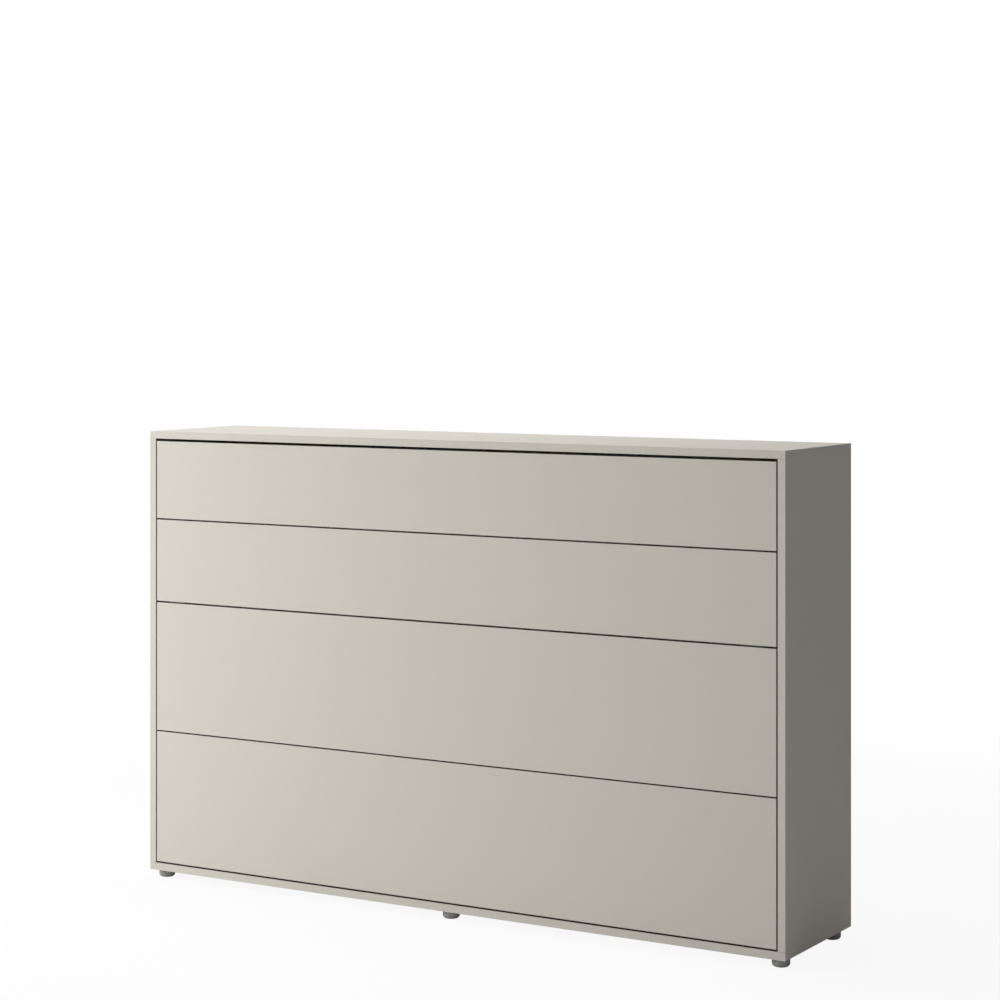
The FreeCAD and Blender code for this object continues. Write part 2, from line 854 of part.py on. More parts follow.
def sheet_screws_group():
    """Screws that hold the back sheets to the rails and the stile."""
    spots = []
    for z in ("base_top + back_rail_height / 4", "ceiling_z - back_rail_height / 4"):
        for share in (-9, -7, -5, -3, -1, 1, 3, 5, 7, 9):
            spots.append((f"inner_half * {share} / 10", z))
    for share in (3, 5, 7):
        for x in ("-back_stile_width * 3 / 8", "back_stile_width * 3 / 8"):
            spots.append((x, f"base_top + (ceiling_z - base_top) * {share} / 10"))
    screws = []
    for index, spot in enumerate(spots):
        head = rod(f"sheet_head_{index}", "y", "screw_head_radius", ("sheet_y - screw_head", "sheet_y"), spot)
        shank = rod(f"sheet_shank_{index}", "y", "screw_radius", ("sheet_y", "back_y + screw_bite"), spot)
        screws.append(fuse(f"sheet_screw_{index}", [head, shank]))
    return group("sheet_screw_group", screws)


sheet_screws = sheet_screws_group()
keep(group("carcass_screw_group", [sheet_screws, stop_screws]), "carcass_screws")
BACK = ("back_y", "wall_y")
upper_blank = block(
    "back_upper_blank", ("-inner_half", "inner_half"), BACK, ("ceiling_z - back_rail_height", "ceiling_z")
)
upper_bored = cut("back_upper_bored", upper_blank, [carcass_dowels] + wall_holes("upper_bore", ["upper"]))
keep(cut("back_upper", upper_bored, [sheet_screws]), "back_rail_upper")
lower_blank = block(
    "back_lower_blank", ("-inner_half", "inner_half"), BACK, ("base_top", "base_top + back_rail_height")
)
lower_bored = cut("back_lower_bored", lower_blank, [carcass_dowels] + wall_holes("lower_bore", ["lower"]))
keep(cut("back_lower", lower_bored, [sheet_screws]), "back_rail_lower")
stile_blank = block(
    "back_stile_blank",
    ("-back_stile_width / 2", "back_stile_width / 2"),
    BACK,
    ("base_top + back_rail_height", "ceiling_z - back_rail_height"),
)
keep(cut("back_stile", stile_blank, [carcass_dowels, sheet_screws]), "back_stile")
for side_name, side_ends in (
    ("left", ("-inner_half", "-sheet_joint / 2")),
    ("right", ("sheet_joint / 2", "inner_half")),
):
    sheet_blank = block(
        f"sheet_blank_{side_name}", side_ends, ("sheet_y", "back_y"), ("base_top", "ceiling_z")
    )
    bores = wall_holes(f"sheet_bore_{side_name}", ["upper", "lower"])
    keep(cut(f"sheet_{side_name}", sheet_blank, [sheet_screws] + bores), f"back_sheet_{side_name}")

# ---------------------------------------------------------------- bed frame

RAILS = {
    "lower": ("lower_rail_z", "rail_back_y"),
    "joint": ("joint_rail_z", "cross_back_y"),
    "catch": ("catch_rail_z", "cross_back_y"),
    "hinge": ("hinge_rail_z", "cross_back_y"),
    "upper": ("upper_rail_z", "rail_back_y"),
}
RAIL_NAMES = {
    "lower": "bed_rail_lower",
    "joint": "bed_rail_joint",
    "catch": "bed_rail_catch",
    "hinge": "bed_rail_hinge",
    "upper": "bed_rail_upper",
}
SCREW_ROWS = {
    "lower": ["lower_rail_z"],
    "joint": ["joint_rail_z - rail_height / 4", "joint_rail_z + rail_height / 4"],
    "catch": ["catch_rail_z"],
    "hinge": ["hinge_rail_z"],
    "upper": ["upper_rail_z"],
}
SCREW_STEPS = (-5, -3, -1, 1, 3, 5)


def panel_screw_groups():
    """Screws through each rail into the front panels, midway between the slats."""
    screws = {}
    for rail, levels in SCREW_ROWS.items():
        back = RAILS[rail][1]
        found = []
        for level, z in enumerate(levels):
            for step in SCREW_STEPS:
                spot = (f"slat_pitch * 3 / 2 * {step}", z)
                tag = f"{rail}_{level}_{step + 5}"
                head_ends = (back, f"{back} + screw_head")
                shank_ends = ("front_in_y - screw_bite", back)
                head = rod(f"panel_head_{tag}", "y", "screw_head_radius", head_ends, spot)
                shank = rod(f"panel_shank_{tag}", "y", "screw_radius", shank_ends, spot)
                found.append(fuse(f"panel_screw_{tag}", [head, shank]))
        screws[rail] = group(f"panel_screws_{rail}", found)
    return screws


panel_screws = panel_screw_groups()
all_panel_screws = group("panel_screw_group", list(panel_screws.values()))


def frame_bolt_group():
    """Bolts through the end plates into the capped ends of the rails."""
    bolts = []
    for rail, (z, back) in RAILS.items():
        spot = (f"(front_in_y + {back}) / 2", z)
        head_ends = ("end_out", "end_out + frame_bolt_head")
        shank_ends = ("end_out - frame_bolt_reach", "end_out")
        head = rod(f"frame_head_{rail}", "x", "frame_bolt_head_radius", head_ends, spot)
        shank = rod(f"frame_shank_{rail}", "x", "frame_bolt_radius", shank_ends, spot)
        bolts.append(fuse(f"frame_bolt_{rail}", [head, shank]))
    return group("frame_bolt_side", bolts)


frame_bolt_side = frame_bolt_group()
frame_bolts = keep(pair("frame_bolt_pair", frame_bolt_side), "frame_bolts")


def bed_rail(rail):
    """A steel tube with capped ends, from one end plate to the other."""
    z, back = RAILS[rail]
    low = f"{z} - rail_height / 2"
    high = f"{z} + rail_height / 2"
    solid = block(f"rail_solid_{rail}", ("-end_in", "end_in"), ("front_in_y", back), (low, high))
    hollow = block(
        f"rail_hollow_{rail}",
        ("rail_cap - end_in", "end_in - rail_cap"),
        ("front_in_y + rail_wall", f"{back} - rail_wall"),
        (f"{low} + rail_wall", f"{high} - rail_wall"),
    )
    tube = cut(f"rail_tube_{rail}", solid, [hollow])
    drilled = cut(f"rail_drilled_{rail}", tube, [panel_screws[rail]])
    keep(cut(f"rail_{rail}", drilled, [frame_bolts]), RAIL_NAMES[rail])


for rail_name in RAILS:
    bed_rail(rail_name)


def board_screw_group():
    """Screws through the end plates into the ends of the two long box boards."""
    screws = []
    for level, z in (("low", "box_bottom + box_board / 2"), ("high", "box_top - box_board / 2")):
        for place in (1, 3):
            spot = (f"front_in_y + box_depth * {place} / 4", z)
            tag = f"{level}_{place}"
            head_ends = ("end_out", "end_out + screw_head")
            shank_ends = ("end_in - 3 * screw_bite", "end_out")
            head = rod(f"board_head_{tag}", "x", "screw_head_radius", head_ends, spot)
            shank = rod(f"board_shank_{tag}", "x", "screw_radius", shank_ends, spot)
            screws.append(fuse(f"board_screw_{tag}", [head, shank]))
    return group("board_screw_side", screws)


board_screw_side = board_screw_group()
board_screws = pair("board_screw_pair", board_screw_side)
keep(group("bed_screw_group", [all_panel_screws, board_screws]), "bed_screws")
BOX_DEPTH = ("front_in_y", "box_back_y")
for board_name, board_ends in (("lower", ("box_bottom", "box_floor")), ("upper", ("box_ceiling", "box_top"))):
    board_blank = block(f"box_blank_{board_name}", ("-end_in", "end_in"), BOX_DEPTH, board_ends)
    keep(cut(f"box_{board_name}", board_blank, [board_screws]), f"box_board_{board_name}")


def end_plate():
    """The steel plate at the bed's end, with every hole in one outline."""
    body = new_body("end_plate_body")
    face = sketch_on(body, "YZ_Plane", "end_in", "end_plate_face")
    rectangle(face, BOX_DEPTH, ("box_bottom", "box_top"))
    circle(face, "pivot_y", "pivot_z", "pivot_pin_radius + bush_wall")
    for z, back in RAILS.values():
        circle(face, f"(front_in_y + {back}) / 2", z, "frame_bolt_radius")
    for z in ("box_bottom + box_board / 2", "box_top - box_board / 2"):
        for place in (1, 3):
            circle(face, f"front_in_y + box_depth * {place} / 4", z, "screw_radius")
    pad(body, face, "end_plate")
    return body


plate_right = keep(end_plate(), "bed_end_plate_right")
keep(mirrored("end_plate_left", plate_right), "bed_end_plate_left")


def bed_bracket():
    """The thick plate round the pivot that also carries the strut's lower stud."""
    ends = ("end_out", "bracket_out")
    rim_high = rod("bracket_high", "x", "pivot_pin_radius + bush_wall + bracket_rim / 2", ends, PIVOT)
    rim_low = rod("bracket_low", "x", "bracket_rim", ends, STRUT_LOW)
    web_body = new_body("bracket_web")
    web = sketch_on(web_body, "YZ_Plane", "end_out", "bracket_web_face")
    reach = "(pivot_pin_radius + bush_wall + bracket_rim / 2)"
    lean = "(90 - strut_arm_angle)"
    outline(
        web,
        [
            (f"pivot_y - {reach} * cos({lean})", f"pivot_z - {reach} * sin({lean})"),
            (
                f"pivot_y + strut_low_y - bracket_rim * cos({lean})",
                f"pivot_z + strut_low_z - bracket_rim * sin({lean})",
            ),
            (
                f"pivot_y + strut_low_y + bracket_rim * cos({lean})",
                f"pivot_z + strut_low_z + bracket_rim * sin({lean})",
            ),
            (f"pivot_y + {reach} * cos({lean})", f"pivot_z + {reach} * sin({lean})"),
        ],
    )
    pad(web_body, web, "bracket_plate")
    solid = fuse("bracket_solid", [rim_high, rim_low, web_body])
    pivot_bore = rod("bracket_bore", "x", "pivot_pin_radius + bush_wall", ("end_in", "plate_in"), PIVOT)
    stud_bore = rod("bracket_stud_bore", "x", "strut_stud_radius", ("end_in", "plate_in"), STRUT_LOW)
    return cut("bracket", solid, [pivot_bore, stud_bore])


keep(pair("bracket_pair", bed_bracket()), "pivot_brackets")

# ---------------------------------------------------------------- slats


def slat_set():
    body = new_body("slat_body")
    body.AllowCompound = True
    section = sketch_on(body, "XY_Plane", "mattress_low", "slat_section")
    start = "-slat_pitch * (slat_count - 1) / 2"
    across = (f"{start} - slat_width / 2", f"{start} + slat_width / 2")
    rectangle(section, across, ("slat_front_y", "slat_back_y"))
    slat = pad(body, section, "mattress_width")
    repeat(body, [slat], "X_Axis", "slat_pitch * (slat_count - 1)", "slat_count")
    return body


keep(slat_set(), "slats")


def holder_set(level, ends):
    """Caps on a rail, each open towards the slat that it holds."""
    body = new_body(f"holder_{level}")
    body.AllowCompound = True
    section = sketch_on(body, "XY_Plane", ends[0], f"holder_section_{level}")
    middle = "-slat_pitch * (slat_count - 1) / 2"
    half = "slat_width / 2"
    rectangle(
        section,
        (f"{middle} - {half} - holder_wall", f"{middle} + {half} + holder_wall"),
        ("rail_back_y", "holder_back_y"),
    )
    rectangle(section, (f"{middle} - {half}", f"{middle} + {half}"), ("slat_front_y", "slat_back_y"))
    holder = pad(body, section, f"({ends[1]}) - ({ends[0]})")
    repeat(body, [holder], "X_Axis", "slat_pitch * (slat_count - 1)", "slat_count")
    return body


slat_holders = group(
    "holders",
    [
        holder_set("low", ("mattress_low", "mattress_low + holder_grip")),
        holder_set("high", ("mattress_high - holder_grip", "mattress_high")),
    ],
)
keep(slat_holders, "slat_holders")

# ---------------------------------------------------------------- front panels

FRONT = ("front_y", "front_in_y")
FRONT_WIDTH = ("-front_half", "front_half")
FRONT_PANELS = {
    "front_panel_bottom": ("front_bottom", "foot_panel_top"),
    "front_panel_middle": ("middle_bottom", "middle_top"),
    "front_panel_top": ("head_panel_bottom", "front_top"),
}
for node, panel_ends in FRONT_PANELS.items():
    panel_blank = block(node + "_blank", FRONT_WIDTH, FRONT, panel_ends)
    keep(cut(node + "_drilled", panel_blank, [all_panel_screws]), node)

# ---------------------------------------------------------------- fold-out leg

keep(block("leg_blank", FRONT_WIDTH, FRONT, ("leg_bottom", "leg_top")), "leg_panel")

HINGE_START = "-hinge_pitch * (hinge_count - 1) / 2"
TONGUE_HALF = "hinge_tongue / 2"


def hinge_leaves(node, side, knuckles):
    """A row of hinge leaves: a plate on the panel's edge, with knuckles on the axis."""
    pieces = []
    low = "hinge_z + hinge_gap / 2 - leaf_thickness"
    high = "hinge_z + hinge_gap / 2"
    if side == "leg":
        low, high = "hinge_z - hinge_gap / 2", "hinge_z - hinge_gap / 2 + leaf_thickness"
    for index in range(int(value("hinge_count"))):
        centre = f"{HINGE_START} + {index} * hinge_pitch"
        plate = block(
            f"{node}_plate_{index}",
            (f"{centre} - hinge_length / 2", f"{centre} + hinge_length / 2"),
            ("hinge_y + leaf_cut_back", "front_in_y"),
            (low, high),
        )
        shapes = [plate]
        for number, (start, end) in enumerate(knuckles):
            ends = (f"{centre} + {start}", f"{centre} + {end}")
            tag = f"{index}_{number}"
            shapes.append(rod(f"{node}_knuckle_{tag}", "x", "knuckle_radius", ends, ("hinge_y", "hinge_z")))
            shapes.append(
                block(f"{node}_tongue_{tag}", ends, ("hinge_y", "hinge_y + leaf_cut_back"), (low, high))
            )
        solid = fuse(f"{node}_solid_{index}", shapes)
        fit = "hinge_pin_radius" if side == "bed" else "hinge_pin_radius + running_fit"
        ends = (f"{centre} - hinge_length", f"{centre} + hinge_length")
        bore = rod(f"{node}_bore_{index}", "x", fit, ends, ("hinge_y", "hinge_z"))
        pieces.append(cut(f"{node}_leaf_{index}", solid, [bore]))
    return keep(group(node + "_group", pieces), node)


hinge_leaves(
    "leg_hinge_bed_leaves",
    "bed",
    [("-hinge_length / 2", f"-{TONGUE_HALF} - free_gap"), (f"{TONGUE_HALF} + free_gap", "hinge_length / 2")],
)
hinge_leaves("leg_hinge_leg_leaves", "leg", [(f"-{TONGUE_HALF}", TONGUE_HALF)])


def hinge_pin_set():
    body = new_body("hinge_pin_body")
    body.AllowCompound = True
    end = sketch_on(body, "YZ_Plane", f"{HINGE_START} - hinge_length / 2", "hinge_pin_end")
    circle(end, "hinge_y", "hinge_z", "hinge_pin_radius")
    pin = pad(body, end, "hinge_length")
    repeat(body, [pin], "X_Axis", "hinge_pitch * (hinge_count - 1)", "hinge_count")
    return body


keep(hinge_pin_set(), "leg_hinge_pins")


def stay_point(angle, radius="stay_radius"):
    """A point on the stay's circle, at an angle behind the closed leg."""
    across = f"hinge_y + {radius} * sin({angle})"
    up = f"hinge_z - {radius} * cos({angle})"
    return across, up


def quadrant_stay():
    """A curved flat bar about the hinge axis, from a lug on the leg to a stop head."""
    body = new_body("stay_bar_body")
    face = sketch_on(body, "YZ_Plane", "stay_x - stay_thickness / 2", "stay_face")
    centre = V(value("hinge_y"), value("hinge_z"), 0)
    first = math.radians(value("stay_root_angle - 90"))
    last = math.radians(value("stay_head_angle - 90"))
    rims = []
    for radius in ("(stay_radius - stay_bar / 2)", "(stay_radius + stay_bar / 2)"):
        ring = Part.Circle(centre, V(0, 0, 1), value(radius))
        rim = face.addGeometry(Part.ArcOfCircle(ring, first, last))
        fix_point(face, rim, 3, "hinge_y", "hinge_z")
        fix_point(face, rim, 1, *stay_point("stay_root_angle", radius))
        limit(face, "DistanceX", (-1, 1, rim, 2), stay_point("stay_head_angle", radius)[0])
        rims.append((rim, radius))
    for end, angle in ((1, "stay_root_angle"), (2, "stay_head_angle")):
        spots = [stay_point(angle, radius) for rim, radius in rims]
        near, far = [V(value(across), value(up), 0) for across, up in spots]
        edge = face.addGeometry(Part.LineSegment(near, far))
        face.addConstraint(Sketcher.Constraint("Coincident", edge, 1, rims[0][0], end))
        face.addConstraint(Sketcher.Constraint("Coincident", edge, 2, rims[1][0], end))
    pad(body, face, "stay_thickness")
    width = ("stay_x - stay_thickness", "stay_x + stay_thickness")
    head = rod("stay_head", "x", "stay_head_radius", width, stay_point("stay_head_angle"))
    lug_z = "hinge_z - stay_radius * cos(stay_root_angle)"
    lug = block(
        "stay_lug_plate",
        ("stay_x - 3 * stay_thickness", "stay_x + 3 * stay_thickness"),
        ("front_in_y", "front_in_y + stay_lug"),
        (f"{lug_z} - stay_bar * 2", f"{lug_z} + stay_bar * 2"),
    )
    return fuse("stay", [body, head, lug])


keep(pair("stay_pair", quadrant_stay()), "quadrant_stays")


def stay_guide():
    """A block on the end plate with a curved slot that the stay runs through."""
    middle = "hinge_y + stay_guide_depth"
    solid = block(
        "guide_solid",
        ("end_out", "stay_x + 2 * stay_thickness"),
        (f"{middle} - stay_guide_half", f"{middle} + stay_guide_half"),
        ("stay_guide_z - stay_guide_height / 2", "stay_guide_z + stay_guide_height / 2"),
    )
    width = ("stay_x - stay_thickness / 2 - free_gap", "stay_x + stay_thickness / 2 + free_gap")
    axis = ("hinge_y", "hinge_z")
    outer = rod("guide_ring", "x", "stay_radius + stay_bar / 2 + free_gap", width, axis)
    inner = rod("guide_core", "x", "stay_radius - stay_bar / 2 - free_gap", width, axis)
    return cut("guide", solid, [cut("guide_slot", outer, [inner])])


keep(pair("guide_pair", stay_guide()), "stay_guides")

glides = []
for glide_index, glide_step in enumerate((-3, -1, 1, 3)):
    glide_x = f"glide_place * {glide_step}"
    glides.append(
        block(
            f"glide_{glide_index}",
            (f"{glide_x} - glide_length / 2", f"{glide_x} + glide_length / 2"),
            ("front_y + front_board / 2 - glide_width / 2", "front_y + front_board / 2 + glide_width / 2"),
            ("leg_bottom - glide_height", "leg_bottom"),
        )
    )
keep(group("glide_group", glides), "leg_glides")

STRIKE = ("leg_bottom + rail_setback", "leg_bottom + rail_setback + strike_height")
MAGNET_WIDTH = ("magnet_place - magnet_length / 2", "magnet_place + magnet_length / 2")
strike = block("strike", MAGNET_WIDTH, ("front_in_y", "front_in_y + strike_thickness"), STRIKE)
keep(pair("strike_pair", strike), "leg_strike_plates")
MAGNET_FACE = "front_in_y + strike_thickness + free_gap"
magnet = block(
    "magnet",
    MAGNET_WIDTH,
    (MAGNET_FACE, f"{MAGNET_FACE} + magnet_depth"),
    ("catch_rail_z + rail_height / 2", "catch_rail_z + rail_height / 2 + magnet_height"),
)
keep(pair("magnet_pair", magnet), "catch_magnets")

# ---------------------------------------------------------------- mattress and straps


def rounded_loop(half_x, low, high, corner, y):
    """A closed loop of lines and arcs, square to Y."""
    middle_z = (low + high) / 2
    half_z = (high - low) / 2
    bend = corner * (1 - math.sqrt(0.5))
    edges = []
    # One quarter at a time: an arc round a corner, then the straight side that follows.
    for turn_x, turn_z in ((1, -1), (1, 1), (-1, 1), (-1, -1)):
        flat = V(turn_x * (half_x - corner), y, middle_z + turn_z * half_z)
        peak = V(turn_x * (half_x - bend), y, middle_z + turn_z * (half_z - bend))
        upright = V(turn_x * half_x, y, middle_z + turn_z * (half_z - corner))
        arc = [flat, peak, upright] if turn_x * turn_z < 0 else [upright, peak, flat]
        following = V(upright.x, y, 2 * middle_z - upright.z)
        if turn_x * turn_z > 0:
            following = V(-flat.x, y, flat.z)
        edges.append(Part.Arc(*arc))
        edges.append(Part.LineSegment(arc[2], following))
    return Part.Wire([edge.toShape() for edge in edges])


def mattress():
    """A soft block: drawn in along its sides and crowned on the sleeping face."""
    corner = value("mattress_corner")
    thick = value("mattress_thickness")
    crown = value("mattress_crown")
    draw = value("mattress_draw_in")
    body_thick = thick - crown
    # Each row is a share of the thickness under the crown, and how far the edge is drawn in.
    rows = [
        (0.0, 2.4 * draw),
        (0.05, 0.6 * draw),
        (0.12, 0.0),
        (0.5, draw),
        (0.88, 0.0),
        (0.95, 0.6 * draw),
        (1.0, 2.4 * draw),
    ]
    loops = []
    for share, inset in rows:
        y = value("mattress_front_y") + share * body_thick
        half_x = value("mattress_length / 2") - inset
        low = value("mattress_low") + inset
        high = value("mattress_high") - inset
        loops.append(rounded_loop(half_x, low, high, corner, y))
    for share, reach in ((0.6, corner), (1.0, 4 * corner)):
        y = value("mattress_front_y") + body_thick + share * crown
        half_x = value("mattress_length / 2") - reach
        low = value("mattress_low") + reach
        high = value("mattress_high") - reach
        loops.append(rounded_loop(half_x, low, high, corner, y))
    item = doc.addObject("Part::Feature", "mattress_form")
    item.Shape = Part.makeLoft(loops, True, True)
    return keep(item, "mattress")


mattress()


def strap():
    """A flat webbing strap that holds the mattress down between the two long boards."""
    across = ("strap_place - strap_width / 2", "strap_place + strap_width / 2")
    back = "mattress_back_y + soft_gap"
    legs = ("box_back_y - strap_anchor", f"{back} + strap_thickness")
    return fuse(
        "strap",
        [
            block("strap_low", across, legs, ("box_floor", "box_floor + strap_thickness")),
            block("strap_high", across, legs, ("box_ceiling - strap_thickness", "box_ceiling")),
            block("strap_over", across, (back, f"{back} + strap_thickness"), ("box_floor", "box_ceiling")),
        ],
    )


keep(pair("strap_pair", strap()), "mattress_straps")

# ---------------------------------------------------------------- checks and files

doc.recompute()
for item in doc.Objects:
    if "Invalid" in item.State or "Error" in item.State:
        raise RuntimeError(f"{item.Label} failed: {item.State}")

node_names = [item.Label for item in sub_parts]
if len(set(node_names)) != len(node_names):
    raise RuntimeError("two sub-parts share a name")

os.makedirs("parts", exist_ok=True)
for item in sub_parts:
    shape = item.Shape
    if shape.isNull() or not shape.isValid() or not shape.Solids:
        raise RuntimeError(f"{item.Label} has no valid solid")
    shape.exportStep(os.path.join("parts", item.Label + ".step"))
    print(f"{item.Label}: {len(shape.Solids)} solid(s), {shape.Volume / 1000:.1f} cm3")
print(f"{len(sub_parts)} sub-parts")
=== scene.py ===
import json
import math

import bmesh
import bpy
import numpy as np
from mathutils import Matrix, Vector
from mathutils.geometry import tessellate_polygon


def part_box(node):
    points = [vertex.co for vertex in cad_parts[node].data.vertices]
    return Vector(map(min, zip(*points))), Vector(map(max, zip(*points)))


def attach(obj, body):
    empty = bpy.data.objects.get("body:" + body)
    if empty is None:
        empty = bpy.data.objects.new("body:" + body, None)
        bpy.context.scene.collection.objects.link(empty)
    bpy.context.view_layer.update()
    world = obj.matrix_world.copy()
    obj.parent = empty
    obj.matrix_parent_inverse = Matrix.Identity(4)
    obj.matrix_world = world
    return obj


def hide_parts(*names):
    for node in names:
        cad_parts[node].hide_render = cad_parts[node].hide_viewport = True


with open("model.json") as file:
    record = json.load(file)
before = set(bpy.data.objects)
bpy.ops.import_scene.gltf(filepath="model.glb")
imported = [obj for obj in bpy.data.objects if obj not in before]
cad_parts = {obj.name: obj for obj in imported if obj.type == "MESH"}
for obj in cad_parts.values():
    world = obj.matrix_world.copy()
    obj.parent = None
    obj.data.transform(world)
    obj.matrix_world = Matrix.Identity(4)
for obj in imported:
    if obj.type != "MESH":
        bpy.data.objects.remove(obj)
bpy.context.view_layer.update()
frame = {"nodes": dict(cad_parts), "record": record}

bl_info = {
    "name": "Cabinet bed",
    "version": (1, 0, 0),
    "blender": (4, 5, 0),
    "location": "3D View > Sidebar > Cabinet bed",
    "description": "Finishes, fastenings and bedding of a cabinet bed, round its packed solids",
    "category": "Object",
}

BODY_OF = {node: body for body, nodes in frame["record"]["behaviour"]["bodies"].items() for node in nodes}
SLOT_OF = {part["node"]: part["material_slot"] for part in frame["record"]["subparts"]}

# ---------------------------------------------------------------- settings


def colour_setting(name, description, default):
    return bpy.props.FloatVectorProperty(
        name=name, description=description, default=default, subtype="COLOR", size=3, min=0.0, max=1.0
    )


def number_setting(name, description, default, low, high, **kind):
    return bpy.props.FloatProperty(
        name=name, description=description, default=default, min=low, max=high, **kind
    )


def length_setting(name, description, default, low, high):
    return number_setting(name, description, default, low, high, subtype="DISTANCE", unit="LENGTH")


class BoardSettings(bpy.types.PropertyGroup):
    """The laminated boards and the plain boards behind them."""

    laminate: colour_setting(
        "Laminate", "Colour of the cabinet's boards and of its front", (0.600, 0.560, 0.505)
    )
    inner: colour_setting(
        "Inner boards", "Colour of the back rails and of the boards round the mattress", (0.66, 0.635, 0.59)
    )
    back: colour_setting(
        "Back sheets", "Colour of the lacquered sheets at the cabinet's back", (0.69, 0.67, 0.63)
    )
    edge_round: length_setting("Edge rounding", "How far the boards' edges are rounded", 0.00025, 0.0, 0.003)
    edge_band: length_setting(
        "Edge band", "Thickness of the band glued on the boards' edges", 0.001, 0.0004, 0.003
    )


class BeddingSettings(bpy.types.PropertyGroup):
    """The mattress, its straps and the slats under it."""

    ticking: colour_setting("Ticking", "Colour of the mattress cover", (0.78, 0.765, 0.73))
    border: colour_setting("Border", "Colour of the band round the mattress's sides", (0.46, 0.46, 0.455))
    strap: colour_setting("Straps", "Colour of the webbing", (0.035, 0.036, 0.040))
    slat: colour_setting("Slats", "Colour of the slats' light wood", (0.60, 0.40, 0.22))
    quilt_cells: bpy.props.IntProperty(
        name="Quilted squares",
        description="Number of quilted squares along the mattress",
        default=10,
        min=4,
        max=20,
    )
    puff: length_setting("Puff", "How far the quilting may swell between its seams", 0.0075, 0.0, 0.015)
    piping: length_setting(
        "Piping radius", "Radius of the piping along the mattress's edges", 0.0035, 0.001, 0.008
    )


class FittingSettings(bpy.types.PropertyGroup):
    """Steel, nylon and rubber fittings."""

    coating: colour_setting("Powder coating", "Colour of the coated steel", (0.055, 0.056, 0.060))
    nylon: colour_setting("Nylon", "Colour of the moulded caps, bushes and guides", (0.030, 0.030, 0.032))
    foot: colour_setting("Feet", "Colour of the levelling feet", (0.300, 0.300, 0.296))
    edge_round: length_setting(
        "Edge rounding", "How far the edges of plates and tubes are rounded", 0.0004, 0.0, 0.002
    )
    thread_pitch: length_setting(
        "Foot thread pitch", "Pitch of the thread on the levelling feet's stems", 0.0015, 0.001, 0.003
    )


class StudioSettings(bpy.types.PropertyGroup):
    """The floor, the even light and the camera."""

    floor: colour_setting("Floor", "Colour of the floor", (0.88, 0.88, 0.88))
    ambient: number_setting("Ambient light", "Strength of the even light from all round", 0.158, 0.0, 2.0)
    camera_place: bpy.props.FloatVectorProperty(
        name="Camera",
        description="Where the camera stands",
        default=(3.768, -6.192, 1.723),
        subtype="XYZ",
        unit="LENGTH",
        size=3,
    )
    camera_turn: bpy.props.FloatProperty(
        name="Camera turn",
        description="How far the camera is turned to its left",
        default=math.radians(30.94),
        subtype="ANGLE",
        unit="ROTATION",
    )
    lens: number_setting("Lens", "Focal length on a 36 mm sensor, in millimetres", 89.56, 10.0, 300.0)
    shift: number_setting(
        "Lens shift", "Vertical shift of the lens that keeps upright edges upright", -0.18637, -1.0, 1.0
    )


# ---------------------------------------------------------------- material recipes


def maths(operation, reflected=False):
    """A method of a signal that adds one Math node."""

    def method(self, *others):
        values = (*others, self) if reflected else (self, *others)
        return self.graph.node("ShaderNodeMath", dict(enumerate(values)), operation=operation)

    return method


class Signal:
    """A value in a node tree. Arithmetic on it adds the Math nodes that work it out."""

    __add__ = maths("ADD")
    __radd__ = maths("ADD", reflected=True)
    __sub__ = maths("SUBTRACT")
    __rsub__ = maths("SUBTRACT", reflected=True)
    __mul__ = maths("MULTIPLY")
    __rmul__ = maths("MULTIPLY", reflected=True)
    __truediv__ = maths("DIVIDE")
    sine = maths("SINE")
    size = maths("ABSOLUTE")
    root = maths("SQRT")
    fraction = maths("FRACT")
    at_least = maths("MAXIMUM")
    at_most = maths("MINIMUM")
    above = maths("GREATER_THAN")

    def __init__(self, graph, socket):
        self.graph = graph
        self.socket = socket

    def fade(self, start, end):
        """0 at start and 1 at end, with a soft ramp between them."""
        values = {"Value": self, 1: start, 2: end}
        return self.graph.node("ShaderNodeMapRange", values, interpolation_type="SMOOTHSTEP", clamp=True)


class Graph:
    """A node tree that takes nodes one by one."""

    def __init__(self, tree):
        self.tree = tree
        tree.nodes.clear()

    def node(self, kind, values=None, output=0, **settings):
        """Adds a node: its settings first, then its sockets' values. Gives one output or several."""
        made = self.tree.nodes.new(kind)
        for key, setting in settings.items():
            setattr(made, key, setting)
        for key, value in (values or {}).items():
            self.feed(made.inputs[key], value)
        if isinstance(output, tuple):
            return [Signal(self, made.outputs[key]) for key in output]
        return Signal(self, made.outputs[output]) if made.outputs else None

    def feed(self, socket, value):
        """Gives a socket a signal or a plain value. A colour of three parts gets its alpha."""
        if isinstance(value, Signal):
            self.tree.links.new(value.socket, socket)
        elif hasattr(value, "__len__") and len(value) == 3 and len(socket.default_value) == 4:
            socket.default_value = (*value, 1.0)
        else:
            socket.default_value = value

    def vector(self, operation, *values, output=0):
        """Adds one Vector Math node."""
        return self.node("ShaderNodeVectorMath", dict(enumerate(values)), output, operation=operation)


